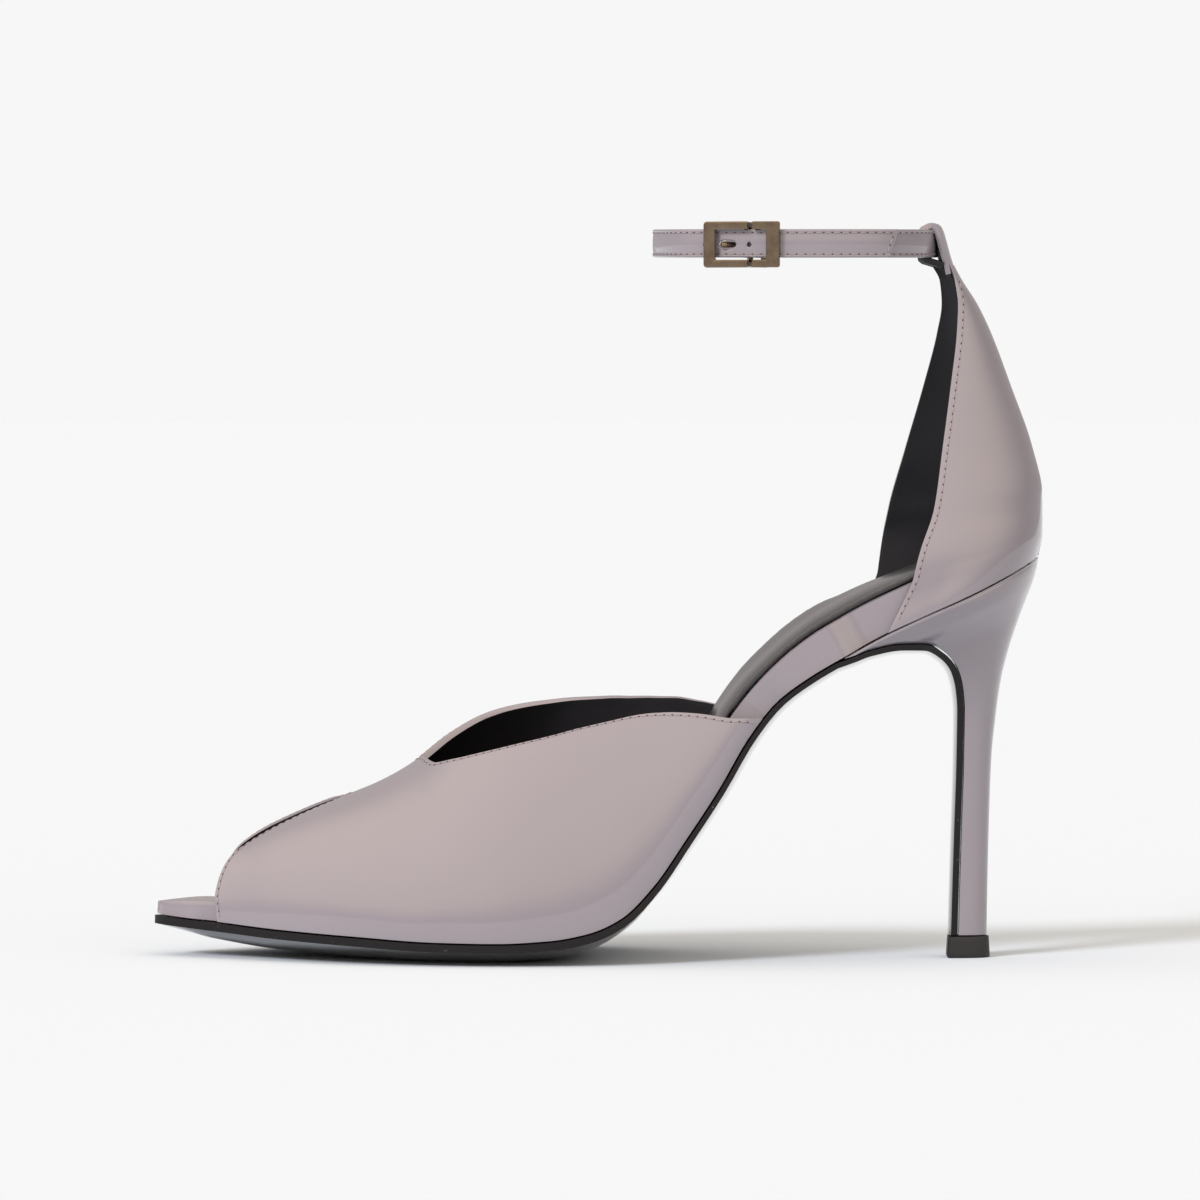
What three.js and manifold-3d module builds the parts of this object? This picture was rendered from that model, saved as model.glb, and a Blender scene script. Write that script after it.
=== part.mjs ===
import * as THREE from 'three';
import Module from 'manifold-3d';
import { mergeVertices } from 'three/addons/utils/BufferGeometryUtils.js';

const wasm = await Module();
wasm.setup();

// Sizes, in millimetres
const LENGTH = 222;
const BALL_WIDTH = 78;
const HEEL_HEIGHT = 100;
const HEIGHT = 183;
const INSTEP = 87;
const WALL = 1.7;
const GAP = 0.3;
const SOLE_EDGE = 2;
const SOLE_BELLY = 4.4;
const BOARD = 7.4;
const SOCK = 3.9;
const TOP_LIFT = 5.4;
const HEEL_TIP_DEPTH = 10.2;
const HEEL_TIP_WIDTH = 9.4;
const STRAP_WIDTH = 7;
const STRAP_THICK = 1.6;
const STRAP_RISE = 1.1;
const TUNNEL_WIDTH = 18.4;
const TUNNEL_BOW = 1.5;
const HOLE = 1.2;
const HOLE_PITCH = 5.4;
const BUCKLE_HEIGHT = 11.3;
const BUCKLE_LENGTH = 11.1;
const BUCKLE_PLATE = 1.4;
const BUCKLE_ARM = 1.5;
const BUCKLE_BAR = 2.9;
const KEEPER_LENGTH = 6.8;
const BAR_RADIUS = 0.75;
const PRONG_RADIUS = 0.75;

const HALF_LENGTH = LENGTH / 2;
const TOE_CAP = -0.432 * LENGTH;
const SEAT_CAP = 0.378 * LENGTH;
const SEAT_BACK = 0.4955 * LENGTH;
const AXIS = -0.051 * BALL_WIDTH;

// Footbed, one row per section from toe to heel.
// along is a share of the length, rise and lift are shares of the heel height,
// swing and half are shares of the ball width, board is a share of the board,
// belly is a share of the sole's fullness underneath.
const BED = [
  { along: -0.500, rise: 0.1000, lift: 0.000, swing: 0.046, half: 0.078, board: 0.43, belly: 0.25 },
  { along: -0.432, rise: 0.0885, lift: 0.000, swing: 0.039, half: 0.163, board: 0.66, belly: 0.60 },
  { along: -0.360, rise: 0.0765, lift: 0.000, swing: 0.029, half: 0.295, board: 0.62, belly: 0.88 },
  { along: -0.270, rise: 0.0660, lift: 0.000, swing: 0.013, half: 0.417, board: 0.57, belly: 1.00 },
  { along: -0.180, rise: 0.0555, lift: 0.000, swing: 0.003, half: 0.483, board: 0.57, belly: 1.00 },
  { along: -0.113, rise: 0.0535, lift: 0.000, swing: 0.000, half: 0.500, board: 0.57, belly: 1.00 },
  { along: -0.054, rise: 0.0600, lift: 0.000, swing: -0.012, half: 0.483, board: 0.57, belly: 0.95 },
  { along: -0.009, rise: 0.0780, lift: 0.000, swing: -0.038, half: 0.446, board: 0.57, belly: 0.72 },
  { along: 0.027, rise: 0.1140, lift: 0.008, swing: -0.062, half: 0.408, board: 0.58, belly: 0.42 },
  { along: 0.063, rise: 0.1920, lift: 0.024, swing: -0.081, half: 0.367, board: 0.60, belly: 0.22 },
  { along: 0.099, rise: 0.3060, lift: 0.052, swing: -0.097, half: 0.331, board: 0.63, belly: 0.15 },
  { along: 0.135, rise: 0.4270, lift: 0.062, swing: -0.108, half: 0.301, board: 0.68, belly: 0.14 },
  { along: 0.171, rise: 0.5630, lift: 0.062, swing: -0.114, half: 0.281, board: 0.71, belly: 0.14 },
  { along: 0.202, rise: 0.6480, lift: 0.058, swing: -0.115, half: 0.273, board: 0.74, belly: 0.14 },
  { along: 0.235, rise: 0.7030, lift: 0.055, swing: -0.110, half: 0.276, board: 0.89, belly: 0.13 },
  { along: 0.273, rise: 0.7530, lift: 0.046, swing: -0.099, half: 0.287, board: 1.00, belly: 0.12 },
  { along: 0.319, rise: 0.8100, lift: 0.029, swing: -0.085, half: 0.306, board: 1.00, belly: 0.12 },
  { along: 0.360, rise: 0.8530, lift: 0.011, swing: -0.072, half: 0.320, board: 1.00, belly: 0.12 },
  { along: 0.416, rise: 0.9080, lift: 0.000, swing: -0.059, half: 0.326, board: 1.00, belly: 0.12 },
  { along: 0.450, rise: 0.9450, lift: 0.000, swing: -0.054, half: 0.326, board: 1.00, belly: 0.12 },
  { along: 0.500, rise: 1.0050, lift: 0.000, swing: -0.051, half: 0.326, board: 1.00, belly: 0.12 },
];

// Heel breast and heel back, one row per section from the waist down to the tip.
const HEEL = [
  { along: 0.2640, rise: 0.7264, half: 0.286, backAlong: 0.4955, backRise: 1.0000, column: 0.00 },
  { along: 0.2830, rise: 0.7423, half: 0.286, backAlong: 0.4952, backRise: 0.9936, column: 0.00 },
  { along: 0.3020, rise: 0.7593, half: 0.276, backAlong: 0.4945, backRise: 0.9809, column: 0.10 },
  { along: 0.3400, rise: 0.7752, half: 0.252, backAlong: 0.4898, backRise: 0.9385, column: 0.45 },
  { along: 0.3640, rise: 0.7741, half: 0.226, backAlong: 0.4816, backRise: 0.8887, column: 0.80 },
  { along: 0.3870, rise: 0.7487, half: 0.186, backAlong: 0.4723, backRise: 0.8303, column: 1.00 },
  { along: 0.4018, rise: 0.7052, half: 0.146, backAlong: 0.4627, backRise: 0.7614, column: 1.00 },
  { along: 0.4080, rise: 0.6501, half: 0.116, backAlong: 0.4541, backRise: 0.6819, column: 1.00 },
  { along: 0.4100, rise: 0.5949, half: 0.096, backAlong: 0.4486, backRise: 0.5970, column: 1.00 },
  { along: 0.4095, rise: 0.4655, half: 0.078, backAlong: 0.4430, backRise: 0.4655, column: 1.00 },
  { along: 0.4072, rise: 0.2789, half: 0.069, backAlong: 0.4402, backRise: 0.2789, column: 1.00 },
  { along: 0.4050, rise: 0.0933, half: 0.062, backAlong: 0.4385, backRise: 0.0933, column: 1.00 },
  { along: 0.4040, rise: 0.0000, half: 0.060, backAlong: 0.4378, backRise: 0.0000, column: 1.00 },
];

// Vamp sections, crest and fullness of the wall, as shares.
const VAMP = [
  { along: -0.432, crest: 0.299, flare: 0.03, side: 0.62, top: 0.66 },
  { along: -0.401, crest: 0.336, flare: 0.03, side: 0.62, top: 0.66 },
  { along: -0.369, crest: 0.376, flare: 0.04, side: 0.62, top: 0.66 },
  { along: -0.315, crest: 0.434, flare: 0.05, side: 0.59, top: 0.63 },
  { along: -0.284, crest: 0.463, flare: 0.06, side: 0.57, top: 0.60 },
  { along: -0.246, crest: 0.503, flare: 0.06, side: 0.54, top: 0.56 },
  { along: -0.206, crest: 0.562, flare: 0.06, side: 0.50, top: 0.50 },
  { along: -0.167, crest: 0.650, flare: 0.06, side: 0.48, top: 0.48 },
  { along: -0.124, crest: 0.750, flare: 0.05, side: 0.46, top: 0.46 },
  { along: -0.063, crest: 0.876, flare: 0.05, side: 0.44, top: 0.44 },
  { along: 0.000, crest: 1.000, flare: 0.06, side: 0.42, top: 0.42 },
  { along: 0.068, crest: 1.110, flare: 0.10, side: 0.40, top: 0.42 },
  { along: 0.135, crest: 1.190, flare: 0.16, side: 0.38, top: 0.42 },
  { along: 0.190, crest: 1.250, flare: 0.18, side: 0.38, top: 0.42 },
];

// Peep toe edge, girth runs from the feather line to the crest.
const PEEP = [
  { girth: 0.00, along: -0.4266 },
  { girth: 0.20, along: -0.4297 },
  { girth: 0.34, along: -0.4270 },
  { girth: 0.50, along: -0.4212 },
  { girth: 0.62, along: -0.4144 },
  { girth: 0.72, along: -0.4063 },
  { girth: 0.80, along: -0.3919 },
  { girth: 0.86, along: -0.3694 },
  { girth: 0.90, along: -0.3446 },
  { girth: 0.94, along: -0.3198 },
  { girth: 0.97, along: -0.3041 },
  { girth: 1.00, along: -0.2852 },
];

// Throat edge heights on the lateral and medial side, as shares of the instep.
const THROAT_END = 0.1825;
const THROAT_POINT = -0.2005;
const THROAT_LATERAL = [
  { along: -0.183, rise: 0.565 },
  { along: -0.158, rise: 0.579 },
  { along: -0.124, rise: 0.601 },
  { along: -0.064, rise: 0.639 },
  { along: -0.004, rise: 0.679 },
  { along: 0.041, rise: 0.706 },
  { along: 0.100, rise: 0.714 },
  { along: 0.130, rise: 0.706 },
  { along: 0.154, rise: 0.699 },
];
const THROAT_MEDIAL = [
  { along: -0.168, rise: 0.638 },
  { along: -0.145, rise: 0.673 },
  { along: -0.111, rise: 0.706 },
  { along: -0.066, rise: 0.726 },
  { along: -0.020, rise: 0.737 },
  { along: 0.026, rise: 0.741 },
  { along: 0.070, rise: 0.740 },
  { along: 0.117, rise: 0.728 },
  { along: 0.148, rise: 0.722 },
];

// Counter, one row per level from the seat to the strap tunnel, as shares.
const COUNTER = [
  { level: 0.00, lateral: 0.322, medial: 0.290, front: 0.000, halfLateral: 0.306, halfMedial: 0.306,
    back: 0.4955, backRise: 0.5480 },
  { level: 0.16, lateral: 0.350, medial: 0.318, front: 0.519, halfLateral: 0.327, halfMedial: 0.338,
    back: 0.5000, backRise: 0.5800 },
  { level: 0.35, lateral: 0.374, medial: 0.3315, front: 0.617, halfLateral: 0.290, halfMedial: 0.290,
    back: 0.4995, backRise: 0.6350 },
  { level: 0.50, lateral: 0.3835, medial: 0.3487, front: 0.694, halfLateral: 0.245, halfMedial: 0.232,
    back: 0.4880, backRise: 0.6980 },
  { level: 0.67, lateral: 0.3935, medial: 0.369, front: 0.781, halfLateral: 0.204, halfMedial: 0.195,
    back: 0.4640, backRise: 0.7800 },
  { level: 0.81, lateral: 0.401, medial: 0.384, front: 0.855, halfLateral: 0.165, halfMedial: 0.158,
    back: 0.4405, backRise: 0.8550 },
  { level: 0.88, lateral: 0.4025, medial: 0.3885, front: 0.891, halfLateral: 0.145, halfMedial: 0.140,
    back: 0.4260, backRise: 0.8910 },
  { level: 0.95, lateral: 0.399, medial: 0.386, front: 0.924, halfLateral: 0.128, halfMedial: 0.125,
    back: 0.4085, backRise: 0.9240 },
  { level: 1.00, lateral: 0.3935, medial: 0.378, front: 0.943, halfLateral: 0.121, halfMedial: 0.121,
    back: 0.4000, backRise: 0.9430 },
];

// Strap seen from above, starting at the buckle bar on the lateral side.
// along is a share of the length, across is a share of the ball width from the heel axis.
const STRAP = [
  { along: 0.1670, across: -0.3360 },
  { along: 0.2070, across: -0.3640 },
  { along: 0.2620, across: -0.3700 },
  { along: 0.3150, across: -0.3270 },
  { along: 0.3580, across: -0.2000 },
  { along: 0.3790, across: 0.0000 },
  { along: 0.3590, across: 0.1920 },
  { along: 0.3150, across: 0.3080 },
  { along: 0.2550, across: 0.3560 },
  { along: 0.1900, across: 0.3450 },
  { along: 0.1270, across: 0.2800 },
  { along: 0.0830, across: 0.1600 },
  { along: 0.0655, across: 0.0000 },
  { along: 0.0780, across: -0.1500 },
  { along: 0.1030, across: -0.2540 },
  { along: 0.1330, across: -0.3070 },
  { along: 0.1670, across: -0.3360 },
];

// Smooth reading of one table column
function column(rows, by, key) {
  const x = rows.map((row) => row[by]);
  const y = rows.map((row) => row[key]);
  const n = x.length;
  const d = [];
  for (let i = 0; i < n - 1; i += 1) {
    d.push((y[i + 1] - y[i]) / (x[i + 1] - x[i]));
  }
  const m = [d[0]];
  for (let i = 1; i < n - 1; i += 1) {
    const flat = d[i - 1] * d[i] <= 0;
    const a = x[i] - x[i - 1];
    const b = x[i + 1] - x[i];
    m.push(flat ? 0 : (3 * (a + b)) / ((2 * b + a) / d[i - 1] + (b + 2 * a) / d[i]));
  }
  m.push(d[n - 2]);
  return (at) => {
    const t = Math.min(Math.max(at, x[0]), x[n - 1]);
    let i = 0;
    while (i < n - 2 && t > x[i + 1]) {
      i += 1;
    }
    const h = x[i + 1] - x[i];
    const s = (t - x[i]) / h;
    const s2 = s * s;
    const s3 = s2 * s;
    return (2 * s3 - 3 * s2 + 1) * y[i] + (s3 - 2 * s2 + s) * h * m[i]
      + (3 * s2 - 2 * s3) * y[i + 1] + (s3 - s2) * h * m[i + 1];
  };
}

function mix(a, b, t) {
  return a + (b - a) * t;
}

function smooth(t) {
  const s = Math.min(Math.max(t, 0), 1);
  return s * s * (3 - 2 * s);
}

// Solids from point grids
function builder() {
  const points = [];
  const faces = [];
  const add = (p) => {
    points.push(p.x, p.y, p.z);
    return points.length / 3 - 1;
  };
  const quad = (a, b, c, d) => {
    faces.push(a, b, c, a, c, d);
  };
  const tri = (a, b, c) => {
    faces.push(a, b, c);
  };
  const geometry = () => {
    const out = new THREE.BufferGeometry();
    out.setAttribute('position', new THREE.Float32BufferAttribute(points, 3));
    out.setIndex(faces);
    return outward(out);
  };
  return { add, quad, tri, geometry };
}

function volume(geometry) {
  const p = geometry.getAttribute('position');
  const index = geometry.getIndex();
  const a = new THREE.Vector3();
  const b = new THREE.Vector3();
  const c = new THREE.Vector3();
  let sum = 0;
  for (let i = 0; i < index.count; i += 3) {
    a.fromBufferAttribute(p, index.getX(i));
    b.fromBufferAttribute(p, index.getX(i + 1));
    c.fromBufferAttribute(p, index.getX(i + 2));
    sum += a.dot(b.cross(c)) / 6;
  }
  return sum;
}

function outward(geometry) {
  if (volume(geometry) < 0) {
    const index = geometry.getIndex();
    for (let i = 0; i < index.count; i += 3) {
      const keep = index.getX(i + 1);
      index.setX(i + 1, index.getX(i + 2));
      index.setX(i + 2, keep);
    }
  }
  geometry.computeVertexNormals();
  return geometry;
}

// A slab lies between two grids of the same size.
function slab(over, under) {
  const make = builder();
  const top = over.map((row) => row.map(make.add));
  const low = under.map((row) => row.map(make.add));
  const n = top.length - 1;
  const k = top[0].length - 1;
  for (let i = 0; i < n; i += 1) {
    for (let j = 0; j < k; j += 1) {
      make.quad(top[i][j], top[i + 1][j], top[i + 1][j + 1], top[i][j + 1]);
      make.quad(low[i][j], low[i][j + 1], low[i + 1][j + 1], low[i + 1][j]);
    }
    make.quad(top[i][0], low[i][0], low[i + 1][0], top[i + 1][0]);
    make.quad(top[i][k], top[i + 1][k], low[i + 1][k], low[i][k]);
  }
  for (let j = 0; j < k; j += 1) {
    make.quad(top[0][j], top[0][j + 1], low[0][j + 1], low[0][j]);
    make.quad(top[n][j], low[n][j], low[n][j + 1], top[n][j + 1]);
  }
  return make.geometry();
}

// A loft joins closed rings, with a flat fan at each end.
function loft(rings) {
  const make = builder();
  const ids = rings.map((ring) => ring.map(make.add));
  const n = rings[0].length;
  for (let i = 0; i < rings.length - 1; i += 1) {
    for (let j = 0; j < n; j += 1) {
      const next = (j + 1) % n;
      make.quad(ids[i][j], ids[i][next], ids[i + 1][next], ids[i + 1][j]);
    }
  }
  const last = rings.length - 1;
  const first = make.add(middle(rings[0]));
  const end = make.add(middle(rings[last]));
  for (let j = 0; j < n; j += 1) {
    const next = (j + 1) % n;
    make.tri(first, ids[0][next], ids[0][j]);
    make.tri(end, ids[last][j], ids[last][next]);
  }
  return make.geometry();
}

function middle(ring) {
  const sum = new THREE.Vector3();
  ring.forEach((p) => sum.add(p));
  return sum.multiplyScalar(1 / ring.length);
}

function solid(geometry) {
  const bare = geometry.clone();
  bare.deleteAttribute('normal');
  bare.deleteAttribute('uv');
  const merged = mergeVertices(bare, 1e-4);
  return new wasm.Manifold(new wasm.Mesh({
    numProp: 3,
    vertProperties: new Float32Array(merged.getAttribute('position').array),
    triVerts: new Uint32Array(merged.getIndex().array),
  }));
}

function shape(manifold) {
  const mesh = manifold.getMesh();
  const out = new THREE.BufferGeometry();
  const points = [];
  for (let i = 0; i < mesh.vertProperties.length; i += mesh.numProp) {
    points.push(mesh.vertProperties[i], mesh.vertProperties[i + 1], mesh.vertProperties[i + 2]);
  }
  out.setAttribute('position', new THREE.Float32BufferAttribute(points, 3));
  out.setIndex(Array.from(mesh.triVerts));
  out.computeVertexNormals();
  return out;
}

// Footbed surface
const bed = {};
['rise', 'lift', 'swing', 'half', 'board', 'belly'].forEach((key) => {
  const read = column(BED, 'along', key);
  bed[key] = (x) => read(x / LENGTH);
});

function centre(x) {
  return BALL_WIDTH * bed.swing(x);
}

// Half width of the outline, moved inwards by an inset.
function halfWidth(x, inset) {
  const base = BALL_WIDTH * bed.half(x) - inset;
  const toe = (TOE_CAP - x) / (TOE_CAP + HALF_LENGTH - inset);
  const seat = (x - SEAT_CAP) / (SEAT_BACK - inset - SEAT_CAP);
  let cap = 1;
  if (toe > 0) {
    cap = Math.max(1 - toe ** 2.2, 0) ** 0.5;
  }
  if (seat > 0) {
    cap = Math.max(1 - seat ** 2.1, 0) ** 0.5;
  }
  return base * cap;
}

function bedHeight(x, y) {
  const across = (y - centre(x)) / (BALL_WIDTH * bed.half(x));
  const lift = Math.min(Math.max(across, 0), 1.1) ** 2;
  return HEEL_HEIGHT * (bed.rise(x) + bed.lift(x) * lift);
}

function bedSlope(x) {
  const step = 0.5;
  return (HEEL_HEIGHT * (bed.rise(x + step) - bed.rise(x - step))) / (2 * step);
}

// A point above the footbed, measured square to it.
function bedPoint(x, y, h) {
  const slope = bedSlope(x);
  const long = Math.hypot(slope, 1);
  return new THREE.Vector3(x - (h * slope) / long, y, bedHeight(x, y) + h / long);
}

function clearOfBed(x, y) {
  return bedHeight(x, y) + 1.4 * GAP * Math.hypot(bedSlope(x), 1);
}

function range(from, to, count) {
  return Array.from({ length: count + 1 }, (_, i) => mix(from, to, i / count));
}

// Breast and back of the heel, read by the way along the breast
const HEEL_TOP = HEEL_HEIGHT - TOP_LIFT - GAP;
const SOLE_END = LENGTH * HEEL[0].along;
HEEL[0].rise = (bedHeight(SOLE_END, centre(SOLE_END)) - TOP_LIFT - GAP) / HEEL_TOP;
const way = [0];
for (let i = 1; i < HEEL.length; i += 1) {
  const dx = (HEEL[i].along - HEEL[i - 1].along) * LENGTH;
  const dz = (HEEL[i].rise - HEEL[i - 1].rise) * HEEL_TOP;
  way.push(way[i - 1] + Math.hypot(dx, dz));
}
const wayRows = HEEL.map((row, i) => ({ ...row, way: way[i] / way[way.length - 1] }));
const heelRead = {};
['along', 'rise', 'half', 'backAlong', 'backRise', 'column'].forEach((key) => {
  heelRead[key] = column(wayRows, 'way', key);
});

function dropHeight(share) {
  return TOP_LIFT + GAP + share * HEEL_TOP;
}

function breast(t) {
  const x = LENGTH * heelRead.along(t);
  const z = dropHeight(heelRead.rise(t));
  return { x, z };
}

const LIP = wayRows[1].way;
const LIP_X = LENGTH * HEEL[1].along;
const BREAST_STEPS = range(0, 1, 24).slice(1);

function heelPoint(t, q, side) {
  const seatX = mix(LIP_X, SEAT_BACK, q);
  const seatHalf = halfWidth(seatX, 0.1);
  const seatY = centre(seatX) + side * seatHalf;
  if (t < LIP) {
    return new THREE.Vector3(seatX, seatY, bedHeight(seatX, seatY));
  }
  const front = breastSide(t, GAP);
  const backX = LENGTH * heelRead.backAlong(t);
  const backZ = dropHeight(heelRead.backRise(t));
  const ends = mix(bedHeight(LIP_X, seatY), bedHeight(SEAT_BACK, AXIS), q);
  const bow = bedHeight(seatX, seatY) - ends;
  const turn = heelRead.column(t);
  const round = Math.max(1 - q ** 2.6, 0) ** 0.46;
  const half = mix(seatHalf, BALL_WIDTH * heelRead.half(t) * round, turn);
  const middleY = mix(centre(seatX), AXIS, turn);
  return new THREE.Vector3(
    mix(front.x, backX, q),
    middleY + side * half,
    mix(front.z, backZ, q) + bow * (1 - turn),
  );
}

function breastTangent(t) {
  const step = 0.004;
  const a = breast(Math.max(t - step, 0));
  const b = breast(Math.min(t + step, 1));
  const long = Math.hypot(b.x - a.x, b.z - a.z);
  return { x: (b.x - a.x) / long, z: (b.z - a.z) / long };
}

// A point beside the breast, on the heel side when the distance is positive.
function breastSide(t, distance) {
  const p = breast(t);
  const d = breastTangent(t);
  return { x: p.x - d.z * distance, z: p.z + d.x * distance };
}

// Outsole
const STATIONS = range(TOE_CAP, SOLE_END, 26).slice(1);
const WAIST_EDGE = 0.8;
const SPREAD = [-1, -0.86, -0.5, 0, 0.32, 0.6, 0.84, 1];

function outsole() {
  const over = [];
  const under = [];
  const toes = [0, 0.12, 0.28, 0.5, 0.75, 1].map((s) => mix(-HALF_LENGTH, TOE_CAP, s));
  toes.concat(STATIONS).forEach((x) => {
    const half = halfWidth(Math.max(x, 0.25 - HALF_LENGTH), 0);
    const belly = SOLE_BELLY * bed.belly(x) * Math.min(half / 12, 1);
    const row = SPREAD.map((s) => bedPoint(x, centre(x) + s * half, 0));
    const low = SPREAD.map((s) => {
      const deep = SOLE_EDGE + belly * (1 - Math.abs(s) ** 2.4);
      const p = bedPoint(x, centre(x) + s * half, -deep);
      p.z = Math.max(p.z, 0);
      return p;
    });
    over.push(row);
    under.push(low);
  });
  BREAST_STEPS.forEach((t) => {
    const blend = smooth(t / LIP);
    const edge = heelPoint(Math.max(t, LIP), 0, 1);
    const other = heelPoint(Math.max(t, LIP), 0, -1);
    const half = mix(halfWidth(SOLE_END, 0), (edge.y - other.y) / 2 + 0.15, blend);
    const mid = mix(centre(SOLE_END), (edge.y + other.y) / 2, blend);
    const belly = SOLE_BELLY * bed.belly(SOLE_END);
    const thick = SOLE_EDGE * mix(1, WAIST_EDGE, smooth(t * 3));
    over.push(SPREAD.map((s) => {
      const p = breastSide(t, 0);
      const raise = (1 - blend) * (bedHeight(SOLE_END, mid + s * half) - bedHeight(SOLE_END, mid));
      return new THREE.Vector3(p.x, mid + s * half, p.z + raise);
    }));
    under.push(SPREAD.map((s) => {
      const deep = thick + belly * (1 - Math.abs(s) ** 2.4);
      const p = breastSide(t, -deep);
      const raise = (1 - blend) * (bedHeight(SOLE_END, mid + s * half) - bedHeight(SOLE_END, mid));
      return new THREE.Vector3(p.x, mid + s * half, p.z + raise);
    }));
  });
  return slab(over, under);
}

// Insole board with its leather wrap
const BOARD_INSET = [
  { along: -0.5000, inset: 0.8 },
  { along: -0.4540, inset: 0.8 },
  { along: -0.4370, inset: 2.7 },
  { along: 0.1950, inset: 2.7 },
  { along: 0.2180, inset: 0.9 },
  { along: 0.2790, inset: 0.9 },
  { along: 0.2950, inset: 2.9 },
  { along: 0.5000, inset: 2.9 },
];
const readInset = column(BOARD_INSET, 'along', 'inset');
const BOARD_SPREAD = [-1, -0.96, -0.78, -0.42, 0, 0.42, 0.78, 0.96, 1];
const BOARD_DROP = [0.06, 0.01, 0, 0, 0, 0, 0, 0.01, 0.06];

const BOARD_FRONT = 0.5;
const BOARD_GAP = 0.42;

function boardTop(x) {
  return GAP + BOARD * bed.board(x);
}

function insoleBoard() {
  const over = [];
  const under = [];
  const nose = BOARD_FRONT - HALF_LENGTH;
  const toes = [0, 0.12, 0.28, 0.5, 0.75, 1].map((s) => mix(nose, TOE_CAP, s));
  const rest = STATIONS.concat(range(SOLE_END, SEAT_CAP, 5).slice(1));
  const back = [0.3, 0.54, 0.72, 0.86, 0.95, 0.99].map((s) => mix(SEAT_CAP, SEAT_BACK - 2.9, s));
  toes.concat(rest, back).forEach((x) => {
    const half = halfWidth(x, readInset(x / LENGTH));
    const high = boardTop(x);
    over.push(BOARD_SPREAD.map((s, i) => bedPoint(x, centre(x) + s * half, high - BOARD_DROP[i] * BOARD)));
    under.push(BOARD_SPREAD.map((s) => bedPoint(x, centre(x) + s * half, BOARD_GAP)));
  });
  return slab(over, under);
}

// Padded sock
const SOCK_SHAPE = [
  { along: -0.426, thick: 0.26, inset: 3.1 },
  { along: -0.360, thick: 0.34, inset: 3.1 },
  { along: -0.180, thick: 0.50, inset: 3.1 },
  { along: 0.090, thick: 0.92, inset: 3.1 },
  { along: 0.150, thick: 1.06, inset: 3.0 },
  { along: 0.215, thick: 1.06, inset: 2.2 },
  { along: 0.280, thick: 1.14, inset: 2.2 },
  { along: 0.300, thick: 1.12, inset: 3.5 },
  { along: 0.500, thick: 0.92, inset: 3.5 },
];
const sockThick = column(SOCK_SHAPE, 'along', 'thick');
const sockInset = column(SOCK_SHAPE, 'along', 'inset');
const SOCK_SPREAD = [-1, -0.96, -0.82, -0.5, 0, 0.5, 0.82, 0.96, 1];
const SOCK_NOSE = 5;
const SOCK_FRONT = SOCK_SHAPE[0].along * LENGTH;

function sock() {
  const over = [];
  const under = [];
  const toes = [0.03, 0.3, 0.65, 1].map((s) => mix(SOCK_FRONT, SOCK_FRONT + SOCK_NOSE, s));
  const rest = STATIONS.concat(range(SOLE_END, SEAT_CAP, 5).slice(1))
    .filter((x) => x > SOCK_FRONT + SOCK_NOSE + 1);
  const back = [0.3, 0.54, 0.72, 0.86, 0.95, 0.985].map((s) => mix(SEAT_CAP, SEAT_BACK - 3.5, s));
  toes.concat(rest, back).forEach((x) => {
    const inset = sockInset(x / LENGTH);
    const start = Math.min((x - SOCK_FRONT) / SOCK_NOSE, 1);
    const half = (BALL_WIDTH * bed.half(Math.max(x, TOE_CAP)) - inset) * (1 - (1 - start) ** 2) ** 0.5;
    const wide = x > SEAT_CAP ? halfWidth(x, inset) : half;
    const base = boardTop(x) + GAP;
    const thick = SOCK * sockThick(x / LENGTH);
    over.push(SOCK_SPREAD.map((s) => {
      const high = base + thick * (0.3 + 0.7 * (1 - Math.abs(s) ** 3.2) ** 0.6);
      return bedPoint(x, centre(x) + s * wide, high);
    }));
    under.push(SOCK_SPREAD.map((s) => bedPoint(x, centre(x) + s * wide, base)));
  });
  return slab(over, under);
}

// Vamp
const vampRead = {};
['crest', 'flare', 'side', 'top'].forEach((key) => {
  const read = column(VAMP, 'along', key);
  vampRead[key] = (x) => read(x / LENGTH);
});

function crestSwing(x) {
  return mix(centre(x), AXIS * 0.4, smooth(x / (0.45 * LENGTH) + 0.6));
}

// One section of the vamp: girth 0 is the feather line, girth 1 is the crest.
function vampPoint(x, side, girth) {
  const half = halfWidth(x, 0.2);
  const y0 = centre(x) + side * half;
  const z0 = clearOfBed(x, y0);
  const yc = crestSwing(x);
  const zc = INSTEP * vampRead.crest(x);
  const reach = Math.abs(y0 - yc);
  const high = zc - z0;
  const a = (1 - girth) ** 3;
  const b = 3 * (1 - girth) ** 2 * girth;
  const c = 3 * (1 - girth) * girth ** 2;
  const d = girth ** 3;
  const y1 = y0 + side * reach * vampRead.flare(x);
  const y2 = yc + side * reach * vampRead.top(x);
  const z1 = z0 + high * vampRead.side(x);
  return new THREE.Vector3(x, a * y0 + b * y1 + c * y2 + d * yc, a * z0 + b * z1 + (c + d) * zc);
}

function girthAt(x, side, z) {
  let low = 0;
  let high = 1;
  for (let i = 0; i < 40; i += 1) {
    const mid = (low + high) / 2;
    if (vampPoint(x, side, mid).z < z) {
      low = mid;
    } else {
      high = mid;
    }
  }
  return (low + high) / 2;
}

function throatCurve(rows, side) {
  const list = rows.map((row) => ({
    girth: girthAt(LENGTH * row.along, side, INSTEP * row.rise),
    along: row.along,
  }));
  list.push({ girth: 0, along: THROAT_END });
  list.push({ girth: 1, along: THROAT_POINT });
  list.sort((a, b) => a.girth - b.girth);
  return column(list, 'girth', 'along');
}

const peepEdge = column(PEEP, 'girth', 'along');
const throatLateral = throatCurve(THROAT_LATERAL, -1);
const throatMedial = throatCurve(THROAT_MEDIAL, 1);
const GIRTHS = [0, 0.08, 0.19, 0.32, 0.45, 0.58, 0.69, 0.78, 0.86, 0.92, 0.965, 1];

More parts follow.
